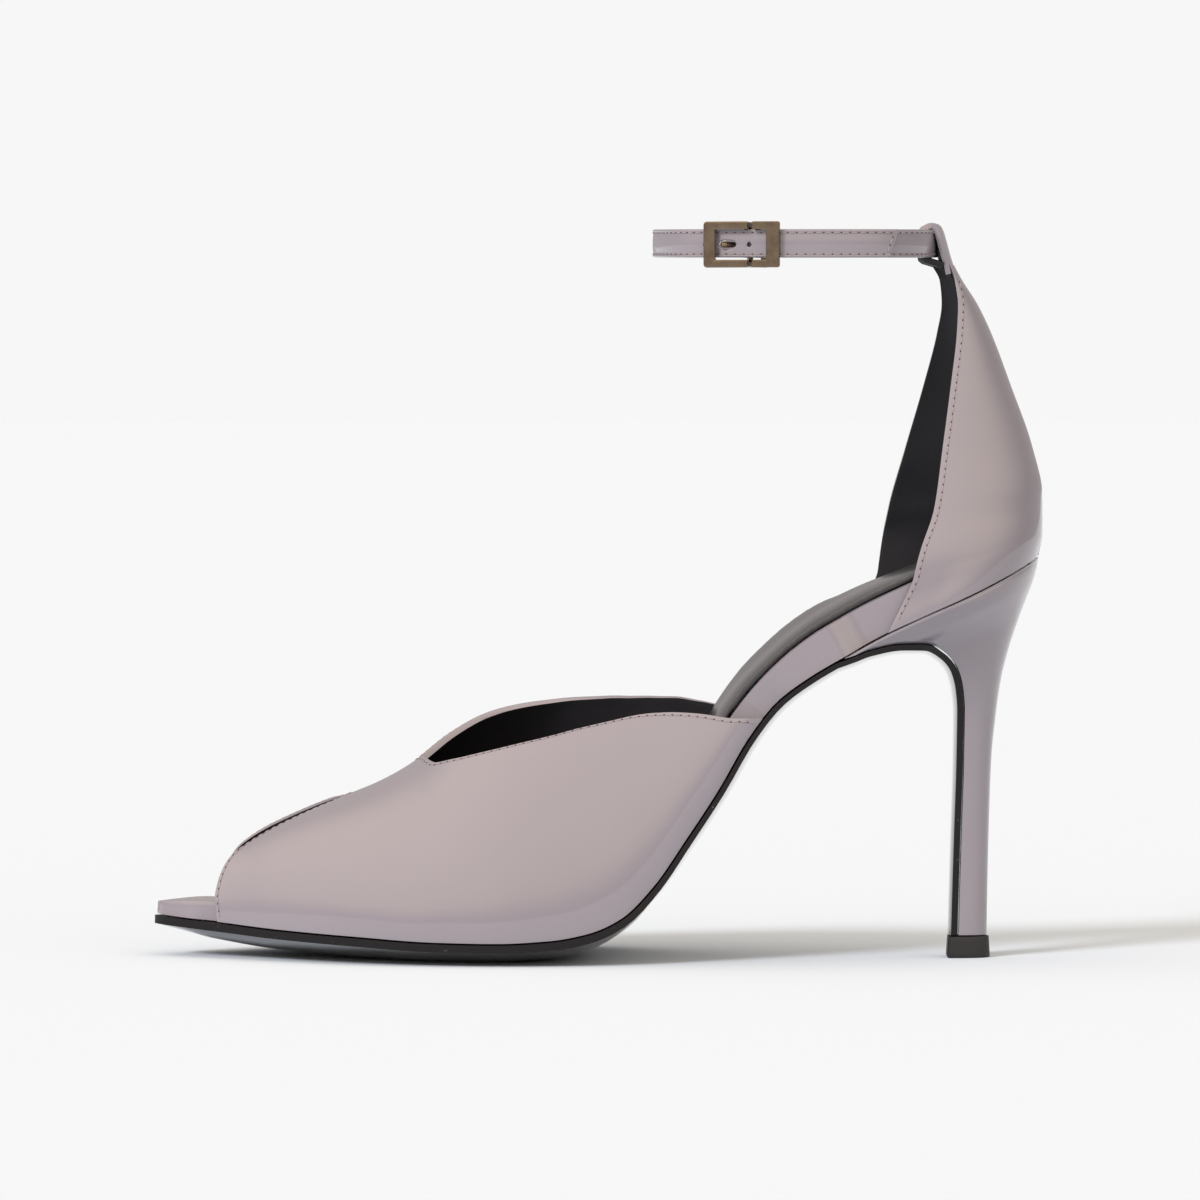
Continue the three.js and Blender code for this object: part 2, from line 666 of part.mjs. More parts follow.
function vampSurface(girth, side, u) {
  const throat = side < 0 ? throatLateral : throatMedial;
  const x = LENGTH * mix(peepEdge(girth), throat(girth), u);
  return vampPoint(x, side, girth);
}

function vamp() {
  const over = [];
  const under = [];
  const list = GIRTHS.map((girth) => ({ girth, side: -1 }));
  GIRTHS.slice(0, -1).reverse().forEach((girth) => list.push({ girth, side: 1 }));
  list.forEach(({ girth, side }) => {
    const outer = [];
    const inner = [];
    range(0, 1, 18).forEach((u) => {
      const p = vampSurface(girth, side, u);
      const step = 0.01;
      const g0 = Math.max(girth - step, 0);
      const g1 = Math.min(girth + step, 1);
      const acrossLine = vampPoint(p.x, side, g1).sub(vampPoint(p.x, side, g0));
      const alongLine = vampPoint(p.x + 0.5, side, girth).sub(vampPoint(p.x - 0.5, side, girth));
      const normal = alongLine.cross(acrossLine).normalize();
      if (normal.y * side < 0 && girth < 0.5) {
        normal.negate();
      }
      if (normal.z < 0 && girth >= 0.5) {
        normal.negate();
      }
      const q = p.clone().addScaledVector(normal, -WALL);
      if (girth === 0) {
        q.z = clearOfBed(q.x, q.y);
      }
      outer.push(p);
      inner.push(q);
    });
    over.push(outer);
    under.push(inner);
  });
  return slab(over, under);
}

// Counter with its strap tunnel
const counterRead = {};
['lateral', 'medial', 'front', 'halfLateral', 'halfMedial', 'back', 'backRise'].forEach((key) => {
  counterRead[key] = column(COUNTER, 'level', key);
});

function counterPoint(phi, level) {
  const turn = Math.PI * phi;
  const side = phi < 0.5 ? -1 : 1;
  const away = Math.sin(turn);
  const frontX = LENGTH * (side < 0 ? counterRead.lateral(level) : counterRead.medial(level));
  const x = mix(frontX, LENGTH * counterRead.back(level), away);
  const half = BALL_WIDTH * (side < 0 ? counterRead.halfLateral(level) : counterRead.halfMedial(level));
  const roundY = AXIS + side * half * Math.abs(Math.cos(turn)) ** 0.95;
  const seatX = mix(LENGTH * (side < 0 ? COUNTER[0].lateral : COUNTER[0].medial), SEAT_BACK, away);
  const seatY = centre(seatX) + side * halfWidth(seatX, 0.2);
  const seatZ = clearOfBed(seatX, seatY);
  const ringZ = HEIGHT * mix(counterRead.front(level), counterRead.backRise(level), away);
  const rise = smooth(level / 0.3);
  const base = COUNTER[1];
  const lowZ = HEIGHT * mix(base.front, base.backRise, away);
  const share = level / base.level;
  const z = level < base.level ? mix(seatZ, lowZ, share) : ringZ;
  return new THREE.Vector3(x, mix(seatY, roundY, rise), z);
}

const LEVELS = [0, 0.08, 0.16, 0.25, 0.35, 0.46, 0.58, 0.7, 0.81, 0.88, 0.95, 1];

function counterWall() {
  const over = [];
  const under = [];
  LEVELS.forEach((level) => {
    const outer = [];
    const inner = [];
    range(0, 1, 22).forEach((phi) => {
      const p = counterPoint(phi, level);
      const a = Math.max(phi - 0.01, 0);
      const b = Math.min(phi + 0.01, 1);
      const lower = Math.max(level - 0.01, 0);
      const upper = Math.min(level + 0.01, 1);
      const round = counterPoint(b, level).sub(counterPoint(a, level));
      const up = counterPoint(phi, upper).sub(counterPoint(phi, lower));
      const normal = round.cross(up).normalize();
      const outwards = new THREE.Vector3(p.x - LENGTH * 0.4, p.y - AXIS, 0);
      if (normal.dot(outwards) < 0) {
        normal.negate();
      }
      const q = p.clone().addScaledVector(normal, -WALL);
      if (level === 0) {
        q.z = clearOfBed(q.x, q.y);
      }
      outer.push(p);
      inner.push(q);
    });
    over.push(outer);
    under.push(inner);
  });
  return slab(over, under);
}

// Strap path seen from above
const strapCurve = new THREE.CatmullRomCurve3(
  STRAP.map((row) => new THREE.Vector3(row.along * LENGTH, AXIS + row.across * BALL_WIDTH, 0)),
  false,
  'centripetal',
);
const STRAP_TOP = HEIGHT - 2;
const STRAP_LOW = STRAP_TOP - STRAP_WIDTH;
const LAYER = STRAP_THICK + GAP;
const strapLong = strapCurve.getLength();

function strapFrame(distance) {
  const share = Math.min(Math.max(distance / strapLong, 0), 1);
  const p = strapCurve.getPointAt(share);
  const d = strapCurve.getTangentAt(share);
  return { p, out: new THREE.Vector3(-d.y, d.x, 0).negate(), d };
}

function strapPoint(distance, off, z) {
  const wrapped = distance > strapLong ? distance - strapLong : distance;
  const { p, out } = strapFrame(wrapped);
  const start = strapFrame(0).p.y;
  const raised = (STRAP_RISE * (p.y - start)) / (2 * (AXIS - start));
  return new THREE.Vector3(p.x + out.x * off, p.y + out.y * off, z + raised);
}

function tunnel() {
  const outline = [
    { out: 5.3, up: -13.6 },
    { out: 4.6, up: -10.6 },
    { out: 3.4, up: -6.6 },
    { out: 2.2, up: -2.3 },
    { out: 1.5, up: -0.8 },
    { out: 0.1, up: 0 },
    { out: -1.5, up: -0.5 },
    { out: -2.6, up: -2.3 },
    { out: -2.6, up: -8.4 },
    { out: -1.2, up: -10.4 },
    { out: 3.6, up: -14.2 },
  ];
  const backX = STRAP[5].along * LENGTH;
  const rings = range(-TUNNEL_WIDTH / 2, TUNNEL_WIDTH / 2, 12).map((y) => {
    const x = backX - (TUNNEL_BOW * 4 * y * y) / TUNNEL_WIDTH ** 2;
    return outline.map((row) => new THREE.Vector3(x + row.out, AXIS + y, HEIGHT + row.up));
  });
  return loft(rings);
}

function strapBand(from, to, steps, inside, outside, low, top, offset) {
  const over = [];
  const under = [];
  range(from, to, steps).forEach((s) => {
    const off = offset(s);
    over.push(range(low, top, 1).map((z) => strapPoint(s, off + outside, z)));
    under.push(range(low, top, 1).map((z) => strapPoint(s, off - inside, z)));
  });
  return slab(over, under);
}

function counter() {
  const half = STRAP_THICK / 2 + GAP;
  const backShare = nearest(STRAP[5].along * LENGTH, AXIS);
  const clear = strapBand(
    backShare - 18, backShare + 18, 16, half, half, STRAP_LOW - GAP, STRAP_TOP + GAP, () => 0,
  );
  return shape(solid(counterWall()).add(solid(tunnel())).subtract(solid(clear)));
}

function nearest(x, y) {
  let best = 0;
  let least = Infinity;
  for (let i = 0; i <= 600; i += 1) {
    const s = (strapLong * i) / 600;
    const { p } = strapFrame(s);
    const far = Math.hypot(p.x - x, p.y - y);
    if (far < least) {
      least = far;
      best = s;
    }
  }
  return best;
}

// Ankle strap: turned round the buckle bar, once round the ankle, then over itself to its tip
const TIP = 0.3320 * LENGTH;
const FREE_LONG = TIP - STRAP[0].along * LENGTH + 1.2;
const TURN_RADIUS = BAR_RADIUS + 0.3 + STRAP_THICK / 2;

function strapOffset(s) {
  return LAYER * smooth((s - 0.83 * strapLong) / (0.125 * strapLong));
}

function hookPoint(t, off, z) {
  const { p, out, d } = strapFrame(0);
  const angle = Math.PI * t;
  const radius = TURN_RADIUS + off;
  const along = -radius * Math.sin(angle);
  const deep = -TURN_RADIUS - radius * Math.cos(angle);
  return new THREE.Vector3(
    p.x + d.x * along + out.x * deep,
    p.y + d.y * along + out.y * deep,
    z,
  );
}

function ankleStrap() {
  const over = [];
  const under = [];
  const half = STRAP_THICK / 2;
  const heights = [STRAP_LOW, STRAP_LOW + 0.25, STRAP_TOP - 0.25, STRAP_TOP];
  const outside = [half - 0.2, half, half, half - 0.2];
  const { p, out, d } = strapFrame(0);
  const flap = [6, 3].map((far) => (off, z) => new THREE.Vector3(
    p.x + d.x * far + out.x * (-2 * TURN_RADIUS - off),
    p.y + d.y * far + out.y * (-2 * TURN_RADIUS - off),
    z,
  ));
  const makers = [...flap];
  range(0, 1, 8).forEach((t) => makers.push((off, z) => hookPoint(t, off, z)));
  const total = strapLong + FREE_LONG;
  range(0, total, 64).slice(1).forEach((s) => {
    makers.push((off, z) => strapPoint(s, strapOffset(s) + off, z));
  });
  makers.forEach((make) => {
    over.push(heights.map((z, i) => make(outside[i], z)));
    under.push(heights.map((z, i) => make(-outside[i], z)));
  });
  const band = solid(slab(over, under));
  const cut = tipCutter();
  let body = band.subtract(cut);
  holeStations().forEach((s) => {
    body = body.subtract(solid(holeCutter(s)));
  });
  body = body.subtract(solid(slotCutter()));
  return shape(body);
}

// The tip is cut on the slant.
function tipCutter() {
  const end = strapLong + FREE_LONG;
  const rings = [0, 1].map((k) => {
    const off = k === 0 ? LAYER - 1.1 : LAYER + 1.6;
    return [
      strapPoint(end + 3, off, STRAP_TOP + 2),
      strapPoint(end - 0.6, off, STRAP_TOP + 2),
      strapPoint(end - 4.4, off, STRAP_LOW - 2),
      strapPoint(end + 3, off, STRAP_LOW - 2),
    ];
  });
  return solid(loft(rings));
}

const HOLE_START = -4.6;

function holeStations() {
  return [0, 1, 2, 3].map((i) => strapLong + HOLE_START + (i - 1) * HOLE_PITCH);
}

const STRAP_MIDDLE = (STRAP_TOP + STRAP_LOW) / 2;
const BUCKLE_MIDDLE = STRAP_MIDDLE - 0.3;

function holeCutter(s) {
  const wide = Math.abs(s - strapLong - HOLE_START) < 0.01 ? 2.2 : HOLE;
  const around = range(0, Math.PI * 2, 12).slice(0, -1);
  return loft([-1.1, 1.6].map((off) => around.map((angle) => {
    const along = (wide / 2) * Math.cos(angle) * (wide > HOLE ? 2 : 1);
    return strapPoint(s + along, LAYER + off, BUCKLE_MIDDLE + (wide / 2) * Math.sin(angle));
  })));
}

function frameAtBar() {
  const { p, out, d } = strapFrame(0);
  return { p, out, d };
}

function local(along, off, z) {
  const { p, out, d } = frameAtBar();
  return new THREE.Vector3(p.x + d.x * along + out.x * off, p.y + d.y * along + out.y * off, z);
}

function slotCutter() {
  const wide = PRONG_RADIUS * 2 + 0.7;
  return loft([BUCKLE_MIDDLE - wide / 2, BUCKLE_MIDDLE + wide / 2].map((z) => [
    local(-4, 0.95, z),
    local(2.2, 0.95, z),
    local(2.2, -2 * TURN_RADIUS - 1, z),
    local(-4, -2 * TURN_RADIUS - 1, z),
  ]));
}

// Heel
function heel() {
  const make = builder();
  const stations = [LIP - 1, LIP].concat(BREAST_STEPS.filter((t) => t > LIP + 0.01));
  const steps = [0, 0.15, 0.32, 0.5, 0.66, 0.8, 0.9, 0.965, 0.99, 1];
  const columns = 6;
  const n = steps.length - 1;
  const rings = stations.map((t) => {
    const front = [];
    const a = heelPoint(t, 0, 1);
    const b = heelPoint(t, 0, -1);
    for (let k = 1; k < columns; k += 1) {
      const p = a.clone().lerp(b, k / columns);
      if (t < LIP) {
        p.z = bedHeight(p.x, p.y);
      }
      front.push(p);
    }
    const lateral = steps.map((q) => heelPoint(t, q, -1));
    const medial = steps.slice(0, -1).map((q) => heelPoint(t, q, 1));
    return [...front, ...lateral, ...medial.reverse()];
  });
  const ids = rings.map((ring) => ring.map(make.add));
  const count = rings[0].length;
  for (let i = 0; i < ids.length - 1; i += 1) {
    for (let j = 0; j < count; j += 1) {
      const next = (j + 1) % count;
      make.quad(ids[i][j], ids[i + 1][j], ids[i + 1][next], ids[i][next]);
    }
  }
  const last = ids.length - 1;
  const end = make.add(middle(rings[last]));
  for (let j = 0; j < count; j += 1) {
    make.tri(end, ids[last][(j + 1) % count], ids[last][j]);
  }
  const top = ids[0];
  const seat = steps.map((q, i) => {
    const lateral = top[columns - 1 + i];
    const medial = top[(count - 1 - i + count) % count];
    if (i === n) {
      return [lateral];
    }
    const row = [medial];
    const a = heelPoint(LIP - 1, q, 1);
    const b = heelPoint(LIP - 1, q, -1);
    for (let k = 1; k < columns; k += 1) {
      const p = a.clone().lerp(b, k / columns);
      p.z = bedHeight(p.x, p.y);
      row.push(i === 0 ? top[k - 1] : make.add(p));
    }
    row.push(lateral);
    return row;
  });
  for (let i = 0; i < n - 1; i += 1) {
    for (let k = 0; k < columns; k += 1) {
      make.quad(seat[i][k], seat[i][k + 1], seat[i + 1][k + 1], seat[i + 1][k]);
    }
  }
  for (let k = 0; k < columns; k += 1) {
    make.tri(seat[n - 1][k], seat[n - 1][k + 1], seat[n][0]);
  }
  return make.geometry();
}

// Top lift
function topLift() {
  const tipX = LENGTH * HEEL[HEEL.length - 1].along;
  const front = tipX - WAIST_EDGE * SOLE_EDGE - 0.55;
  const steps = [0, 0.15, 0.35, 0.55, 0.72, 0.85, 0.94, 0.985, 1];
  const ring = (z, grow) => {
    const depth = HEEL_TIP_DEPTH + grow * 2;
    const half = HEEL_TIP_WIDTH / 2 + grow;
    const side = (q, sign) => new THREE.Vector3(
      front - grow + depth * q,
      AXIS + sign * half * Math.max(1 - q ** 3, 0) ** 0.46,
      z,
    );
    const lateral = steps.map((q) => side(q, -1));
    const medial = steps.slice(0, -1).map((q) => side(q, 1));
    return [...lateral, ...medial.reverse()];
  };
  return loft([ring(0, 0.15), ring(0.35, 0.3), ring(TOP_LIFT, 0)]);
}

// Buckle, in metal
const PLATE = LAYER + STRAP_THICK / 2 + GAP + 0.2;

function plate(outlinePoints) {
  const form = new THREE.Shape(outlinePoints.map(([x, y]) => new THREE.Vector2(x, y)));
  const bevel = 0.25;
  return new THREE.ExtrudeGeometry(form, {
    depth: BUCKLE_PLATE - 2 * bevel,
    bevelThickness: bevel,
    bevelSize: bevel,
    bevelOffset: -bevel,
    bevelSegments: 2,
    steps: 1,
  }).translate(0, 0, bevel);
}

function post(radius, from, to, x, deep) {
  return new THREE.CylinderGeometry(radius, radius, to - from, 16)
    .translate(x, (from + to) / 2, deep);
}

// In the buckle's own frame x runs along the strap, y is up and z points out.
const BAR_DEEP = -TURN_RADIUS;
const FRAME_RIGHT = BAR_RADIUS;

function buckleFrame() {
  const half = BUCKLE_HEIGHT / 2;
  const left = FRAME_RIGHT - BUCKLE_LENGTH;
  const inner = half - BUCKLE_ARM;
  const cut = 0.5;
  let body = solid(plate([
    [left + cut, -half],
    [FRAME_RIGHT, -half],
    [FRAME_RIGHT, -inner],
    [left + BUCKLE_BAR, -inner],
    [left + BUCKLE_BAR, inner],
    [FRAME_RIGHT, inner],
    [FRAME_RIGHT, half],
    [left + cut, half],
    [left, half - cut],
    [left, -half + cut],
  ]).translate(0, 0, PLATE));
  const legs = [-1, 1].map((sign) => {
    const middleY = sign * (half - BUCKLE_ARM / 2);
    return new THREE.BoxGeometry(2 * BAR_RADIUS, BUCKLE_ARM - 0.1, PLATE - BAR_DEEP + BAR_RADIUS + 0.4)
      .translate(0, middleY, (PLATE + BAR_DEEP - BAR_RADIUS + 0.4) / 2);
  });
  legs.forEach((leg) => {
    body = body.add(solid(leg));
  });
  body = body.add(solid(post(BAR_RADIUS, -half + 0.4, half - 0.4, 0, BAR_DEEP)));
  return shape(body);
}

function buckleKeeper() {
  const half = BUCKLE_HEIGHT / 2;
  const left = 1.9;
  const right = left + KEEPER_LENGTH;
  const inner = half - BUCKLE_ARM;
  const bar = 3.3;
  const deep = -2 * TURN_RADIUS - STRAP_THICK / 2 - GAP - 0.2;
  let body = solid(plate([
    [left, -half],
    [right - 0.3, -half],
    [right, -half + 0.3],
    [right, half - 0.3],
    [right - 0.3, half],
    [left, half],
    [left, inner],
    [right - bar, inner],
    [right - bar, -inner],
    [left, -inner],
  ]).translate(0, 0, PLATE));
  [-1, 1].forEach((sign) => {
    const middleY = sign * (half - BUCKLE_ARM / 2);
    const leg = new THREE.BoxGeometry(1.5, BUCKLE_ARM - 0.1, PLATE - deep + 1.2)
      .translate(left + 0.75, middleY, (PLATE + deep - 1.2 + 0.4) / 2);
    body = body.add(solid(leg));
  });
  const back = new THREE.BoxGeometry(1.5, 2 * half - 0.4, 1.2).translate(left + 0.75, 0, deep - 0.6);
  body = body.add(solid(back));
  return shape(body);
}

function buckleProng() {
  const tip = BAR_RADIUS - BUCKLE_LENGTH + BUCKLE_BAR + 0.4;
  const path = [
    new THREE.Vector3(-1.2, 0, BAR_DEEP + 0.6),
    new THREE.Vector3(-3, 0, LAYER - 1.7),
    new THREE.Vector3(-4.5, 0, LAYER),
    new THREE.Vector3(-5.5, 0, LAYER + 1.3),
    new THREE.Vector3(tip, 0, LAYER + STRAP_THICK / 2 + PRONG_RADIUS + 0.3),
  ];
  const curve = new THREE.CatmullRomCurve3(path);
  const rings = range(0, 1, 10).map((t) => {
    const p = curve.getPointAt(t);
    const d = curve.getTangentAt(t);
    const side = new THREE.Vector3(0, 1, 0);
    const up = new THREE.Vector3().crossVectors(side, d);
    const slim = t > 0.94 ? 0.75 : 1;
    return range(0, Math.PI * 2, 10).slice(0, -1).map((angle) => p.clone()
      .addScaledVector(side, PRONG_RADIUS * slim * Math.cos(angle))
      .addScaledVector(up, PRONG_RADIUS * slim * Math.sin(angle)));
  });
  const wide = PRONG_RADIUS * 2;
  const eye = post(BAR_RADIUS + 0.95, -wide / 2, wide / 2, 0, BAR_DEEP);
  const hole = post(BAR_RADIUS + 0.2, -wide, wide, 0, BAR_DEEP);
  return shape(solid(loft(rings)).add(solid(eye)).subtract(solid(hole)));
}

// Assembly
const COLOURS = {
  leather: { color: 0xb8aaa9, roughness: 0.18, metalness: 0 },
  lining: { color: 0x2f2f31, roughness: 0.7, metalness: 0 },
  sole: { color: 0x1d1c1f, roughness: 0.3, metalness: 0 },
  rubber: { color: 0x2a292c, roughness: 0.8, metalness: 0 },
  metal: { color: 0xc9b48d, roughness: 0.25, metalness: 1 },
};

const group = new THREE.Group();
group.name = 'peep_toe_pump';

function place(name, geometry, look) {
  const mesh = new THREE.Mesh(geometry, new THREE.MeshStandardMaterial(COLOURS[look]));
  mesh.name = name;
  group.add(mesh);
  return mesh;
}

place('outsole', outsole(), 'sole');
place('insole_board', insoleBoard(), 'leather');
place('sock', sock(), 'lining');
place('vamp', vamp(), 'leather');
place('counter', counter(), 'leather');
place('heel', heel(), 'leather');
place('top_lift', topLift(), 'rubber');
place('ankle_strap', ankleStrap(), 'leather');

const bar = frameAtBar();
const turned = new THREE.Matrix4().makeBasis(bar.d, new THREE.Vector3(0, 0, 1), bar.out);
[
  ['buckle_frame', buckleFrame()],
  ['buckle_prong', buckleProng()],
  ['buckle_keeper', buckleKeeper()],
].forEach(([name, geometry]) => {
  const mesh = place(name, geometry, 'metal');
  mesh.quaternion.setFromRotationMatrix(turned);
  mesh.position.set(bar.p.x, bar.p.y, BUCKLE_MIDDLE);
});

export default group;
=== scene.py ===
import math

import bmesh
import bpy
from mathutils import Matrix, Vector


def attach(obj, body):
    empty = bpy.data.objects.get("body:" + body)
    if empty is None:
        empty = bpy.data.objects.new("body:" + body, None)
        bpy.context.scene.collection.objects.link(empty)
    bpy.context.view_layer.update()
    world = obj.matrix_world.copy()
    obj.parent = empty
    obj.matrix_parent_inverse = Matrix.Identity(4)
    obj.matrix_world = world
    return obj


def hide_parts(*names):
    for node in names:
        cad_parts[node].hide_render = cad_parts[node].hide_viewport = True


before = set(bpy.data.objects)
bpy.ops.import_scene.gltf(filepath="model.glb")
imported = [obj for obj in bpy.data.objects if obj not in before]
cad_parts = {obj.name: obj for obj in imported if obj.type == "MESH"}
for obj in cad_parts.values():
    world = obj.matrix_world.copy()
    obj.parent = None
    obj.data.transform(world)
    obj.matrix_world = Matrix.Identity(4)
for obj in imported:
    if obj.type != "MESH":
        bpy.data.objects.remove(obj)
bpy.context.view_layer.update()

# Sizes in millimetres, as in the CAD model
MM = 0.001
LENGTH = 222.0
BALL_WIDTH = 78.0
HEEL_HEIGHT = 100.0
HEIGHT = 183.0
INSTEP = 87.0
WALL = 1.7
GAP = 0.3
SOLE_EDGE = 2.0
SOLE_BELLY = 4.4
BOARD = 7.4
SOCK = 3.9
TOP_LIFT = 5.4
HEEL_TIP_DEPTH = 10.2
HEEL_TIP_WIDTH = 9.4
STRAP_WIDTH = 7.0
STRAP_THICK = 1.6
STRAP_RISE = 1.1
TUNNEL_WIDTH = 18.4
TUNNEL_BOW = 1.5
TUNNEL_WAY = 32.0
FLAP_SHARE = 0.76
COUNTER_WALL = 1.35
HOLE = 1.2
HOLE_PITCH = 5.4
BUCKLE_HEIGHT = 11.3
BUCKLE_LENGTH = 11.1
BUCKLE_PLATE = 1.4
BUCKLE_ARM = 1.5
BUCKLE_BAR = 2.9
KEEPER_LENGTH = 6.8
BAR_RADIUS = 0.75
PRONG_RADIUS = 0.75
HALF_LENGTH = LENGTH / 2
TOE_CAP = -0.432 * LENGTH
SEAT_CAP = 0.378 * LENGTH
SEAT_BACK = 0.4955 * LENGTH
AXIS = -0.051 * BALL_WIDTH


def table(names, rows):
    return [dict(zip(names.split(), row)) for row in rows]


BED = table("along rise lift swing half board belly", [
    (-0.500, 0.1000, 0.000, 0.046, 0.078, 0.43, 0.25),
    (-0.432, 0.0885, 0.000, 0.039, 0.163, 0.66, 0.60),
    (-0.360, 0.0765, 0.000, 0.029, 0.295, 0.62, 0.88),
    (-0.270, 0.0660, 0.000, 0.013, 0.417, 0.57, 1.00),
    (-0.180, 0.0555, 0.000, 0.003, 0.483, 0.57, 1.00),
    (-0.113, 0.0535, 0.000, 0.000, 0.500, 0.57, 1.00),
    (-0.054, 0.0600, 0.000, -0.012, 0.483, 0.57, 0.95),
    (-0.009, 0.0780, 0.000, -0.038, 0.446, 0.57, 0.72),
    (0.027, 0.1140, 0.008, -0.062, 0.408, 0.58, 0.42),
    (0.063, 0.1920, 0.024, -0.081, 0.367, 0.60, 0.22),
    (0.099, 0.3060, 0.052, -0.097, 0.331, 0.63, 0.15),
    (0.135, 0.4270, 0.062, -0.108, 0.301, 0.68, 0.14),
    (0.171, 0.5630, 0.062, -0.114, 0.281, 0.71, 0.14),
    (0.202, 0.6480, 0.058, -0.115, 0.273, 0.74, 0.14),
    (0.235, 0.7030, 0.055, -0.110, 0.276, 0.89, 0.13),
    (0.273, 0.7530, 0.046, -0.099, 0.287, 1.00, 0.12),
    (0.319, 0.8100, 0.029, -0.085, 0.306, 1.00, 0.12),
    (0.360, 0.8530, 0.011, -0.072, 0.320, 1.00, 0.12),
    (0.416, 0.9080, 0.000, -0.059, 0.326, 1.00, 0.12),
    (0.450, 0.9450, 0.000, -0.054, 0.326, 1.00, 0.12),
    (0.500, 1.0050, 0.000, -0.051, 0.326, 1.00, 0.12),
])
HEEL = table("along rise half backAlong backRise column", [
    (0.2640, 0.7264, 0.286, 0.4955, 1.0000, 0.00),
    (0.2830, 0.7423, 0.286, 0.4952, 0.9936, 0.00),
    (0.3020, 0.7593, 0.276, 0.4945, 0.9809, 0.10),
    (0.3400, 0.7752, 0.252, 0.4898, 0.9385, 0.45),
    (0.3640, 0.7741, 0.226, 0.4816, 0.8887, 0.80),
    (0.3870, 0.7487, 0.186, 0.4723, 0.8303, 1.00),
    (0.4018, 0.7052, 0.146, 0.4627, 0.7614, 1.00),
    (0.4080, 0.6501, 0.116, 0.4541, 0.6819, 1.00),
    (0.4100, 0.5949, 0.096, 0.4486, 0.5970, 1.00),
    (0.4095, 0.4655, 0.078, 0.4430, 0.4655, 1.00),
    (0.4072, 0.2789, 0.069, 0.4402, 0.2789, 1.00),
    (0.4050, 0.0933, 0.062, 0.4385, 0.0933, 1.00),
    (0.4040, 0.0000, 0.060, 0.4378, 0.0000, 1.00),
])
VAMP = table("along crest flare side top", [
    (-0.432, 0.299, 0.03, 0.62, 0.66),
    (-0.401, 0.336, 0.03, 0.62, 0.66),
    (-0.369, 0.376, 0.04, 0.62, 0.66),
    (-0.315, 0.434, 0.05, 0.59, 0.63),
    (-0.284, 0.463, 0.06, 0.57, 0.60),
    (-0.246, 0.503, 0.06, 0.54, 0.56),
    (-0.206, 0.562, 0.06, 0.50, 0.50),
    (-0.167, 0.650, 0.06, 0.48, 0.48),
    (-0.124, 0.750, 0.05, 0.46, 0.46),
    (-0.063, 0.876, 0.05, 0.44, 0.44),
    (0.000, 1.000, 0.06, 0.42, 0.42),
    (0.068, 1.110, 0.10, 0.40, 0.42),
    (0.135, 1.190, 0.16, 0.38, 0.42),
    (0.190, 1.250, 0.18, 0.38, 0.42),
])
PEEP_SET_BACK = 1.6
PEEP_CURL = 0.5
PEEP = table("girth along", [
    (0.00, -0.4266),
    (0.20, -0.4297),
    (0.34, -0.4270),
    (0.50, -0.4212),
    (0.62, -0.4144),
    (0.72, -0.4063),
    (0.80, -0.3919),
    (0.86, -0.3694),
    (0.90, -0.3446),
    (0.94, -0.3198),
    (0.97, -0.3041),
    (1.00, -0.2852),
])
THROAT_END = 0.1825
THROAT_POINT = -0.2005
THROAT_LATERAL = table("along rise", [
    (-0.183, 0.565),
    (-0.158, 0.579),
    (-0.124, 0.601),
    (-0.064, 0.639),
    (-0.004, 0.679),
    (0.041, 0.706),
    (0.100, 0.714),
    (0.130, 0.706),
    (0.154, 0.699),
])
THROAT_MEDIAL = table("along rise", [
    (-0.168, 0.638),
    (-0.145, 0.673),
    (-0.111, 0.706),
    (-0.066, 0.726),
    (-0.020, 0.737),
    (0.026, 0.741),
    (0.070, 0.740),
    (0.117, 0.728),
    (0.148, 0.722),
])
COUNTER = table("level lateral medial front halfLateral halfMedial back backRise", [
    (0.00, 0.322, 0.290, 0.000, 0.306, 0.306, 0.4955, 0.5480),
    (0.16, 0.350, 0.318, 0.519, 0.327, 0.338, 0.5000, 0.5800),
    (0.35, 0.374, 0.3315, 0.617, 0.290, 0.290, 0.4995, 0.6350),
    (0.50, 0.3835, 0.3487, 0.694, 0.245, 0.232, 0.4880, 0.6980),
    (0.67, 0.3935, 0.369, 0.781, 0.204, 0.195, 0.4640, 0.7800),
    (0.81, 0.401, 0.384, 0.855, 0.165, 0.158, 0.4405, 0.8550),
    (0.88, 0.4025, 0.3885, 0.891, 0.145, 0.140, 0.4260, 0.8910),
    (0.95, 0.399, 0.386, 0.924, 0.128, 0.125, 0.4085, 0.9240),
    (1.00, 0.3935, 0.378, 0.943, 0.121, 0.121, 0.4000, 0.9430),
])
STRAP = table("along across", [
    (0.1670, -0.3360),
    (0.2070, -0.3640),
    (0.2620, -0.3700),
    (0.3150, -0.3270),
    (0.3580, -0.2000),
    (0.3790, 0.0000),
    (0.3590, 0.1920),
    (0.3150, 0.3080),
    (0.2550, 0.3560),
    (0.1900, 0.3450),
    (0.1270, 0.2800),
    (0.0830, 0.1600),
    (0.0655, 0.0000),
    (0.0780, -0.1500),
    (0.1030, -0.2540),
    (0.1330, -0.3070),
    (0.1670, -0.3360),
])


def mix(a, b, t):
    return a + (b - a) * t


def smooth(t):
    s = min(max(t, 0.0), 1.0)
    return s * s * (3 - 2 * s)


def halved(high, steps, holds):
    """The end of the range from 0 in which the test holds, found by halving."""
    low = 0.0
    for _ in range(steps):
        mid = (low + high) / 2
        if holds(mid):
            low = mid
        else:
            high = mid
    return low


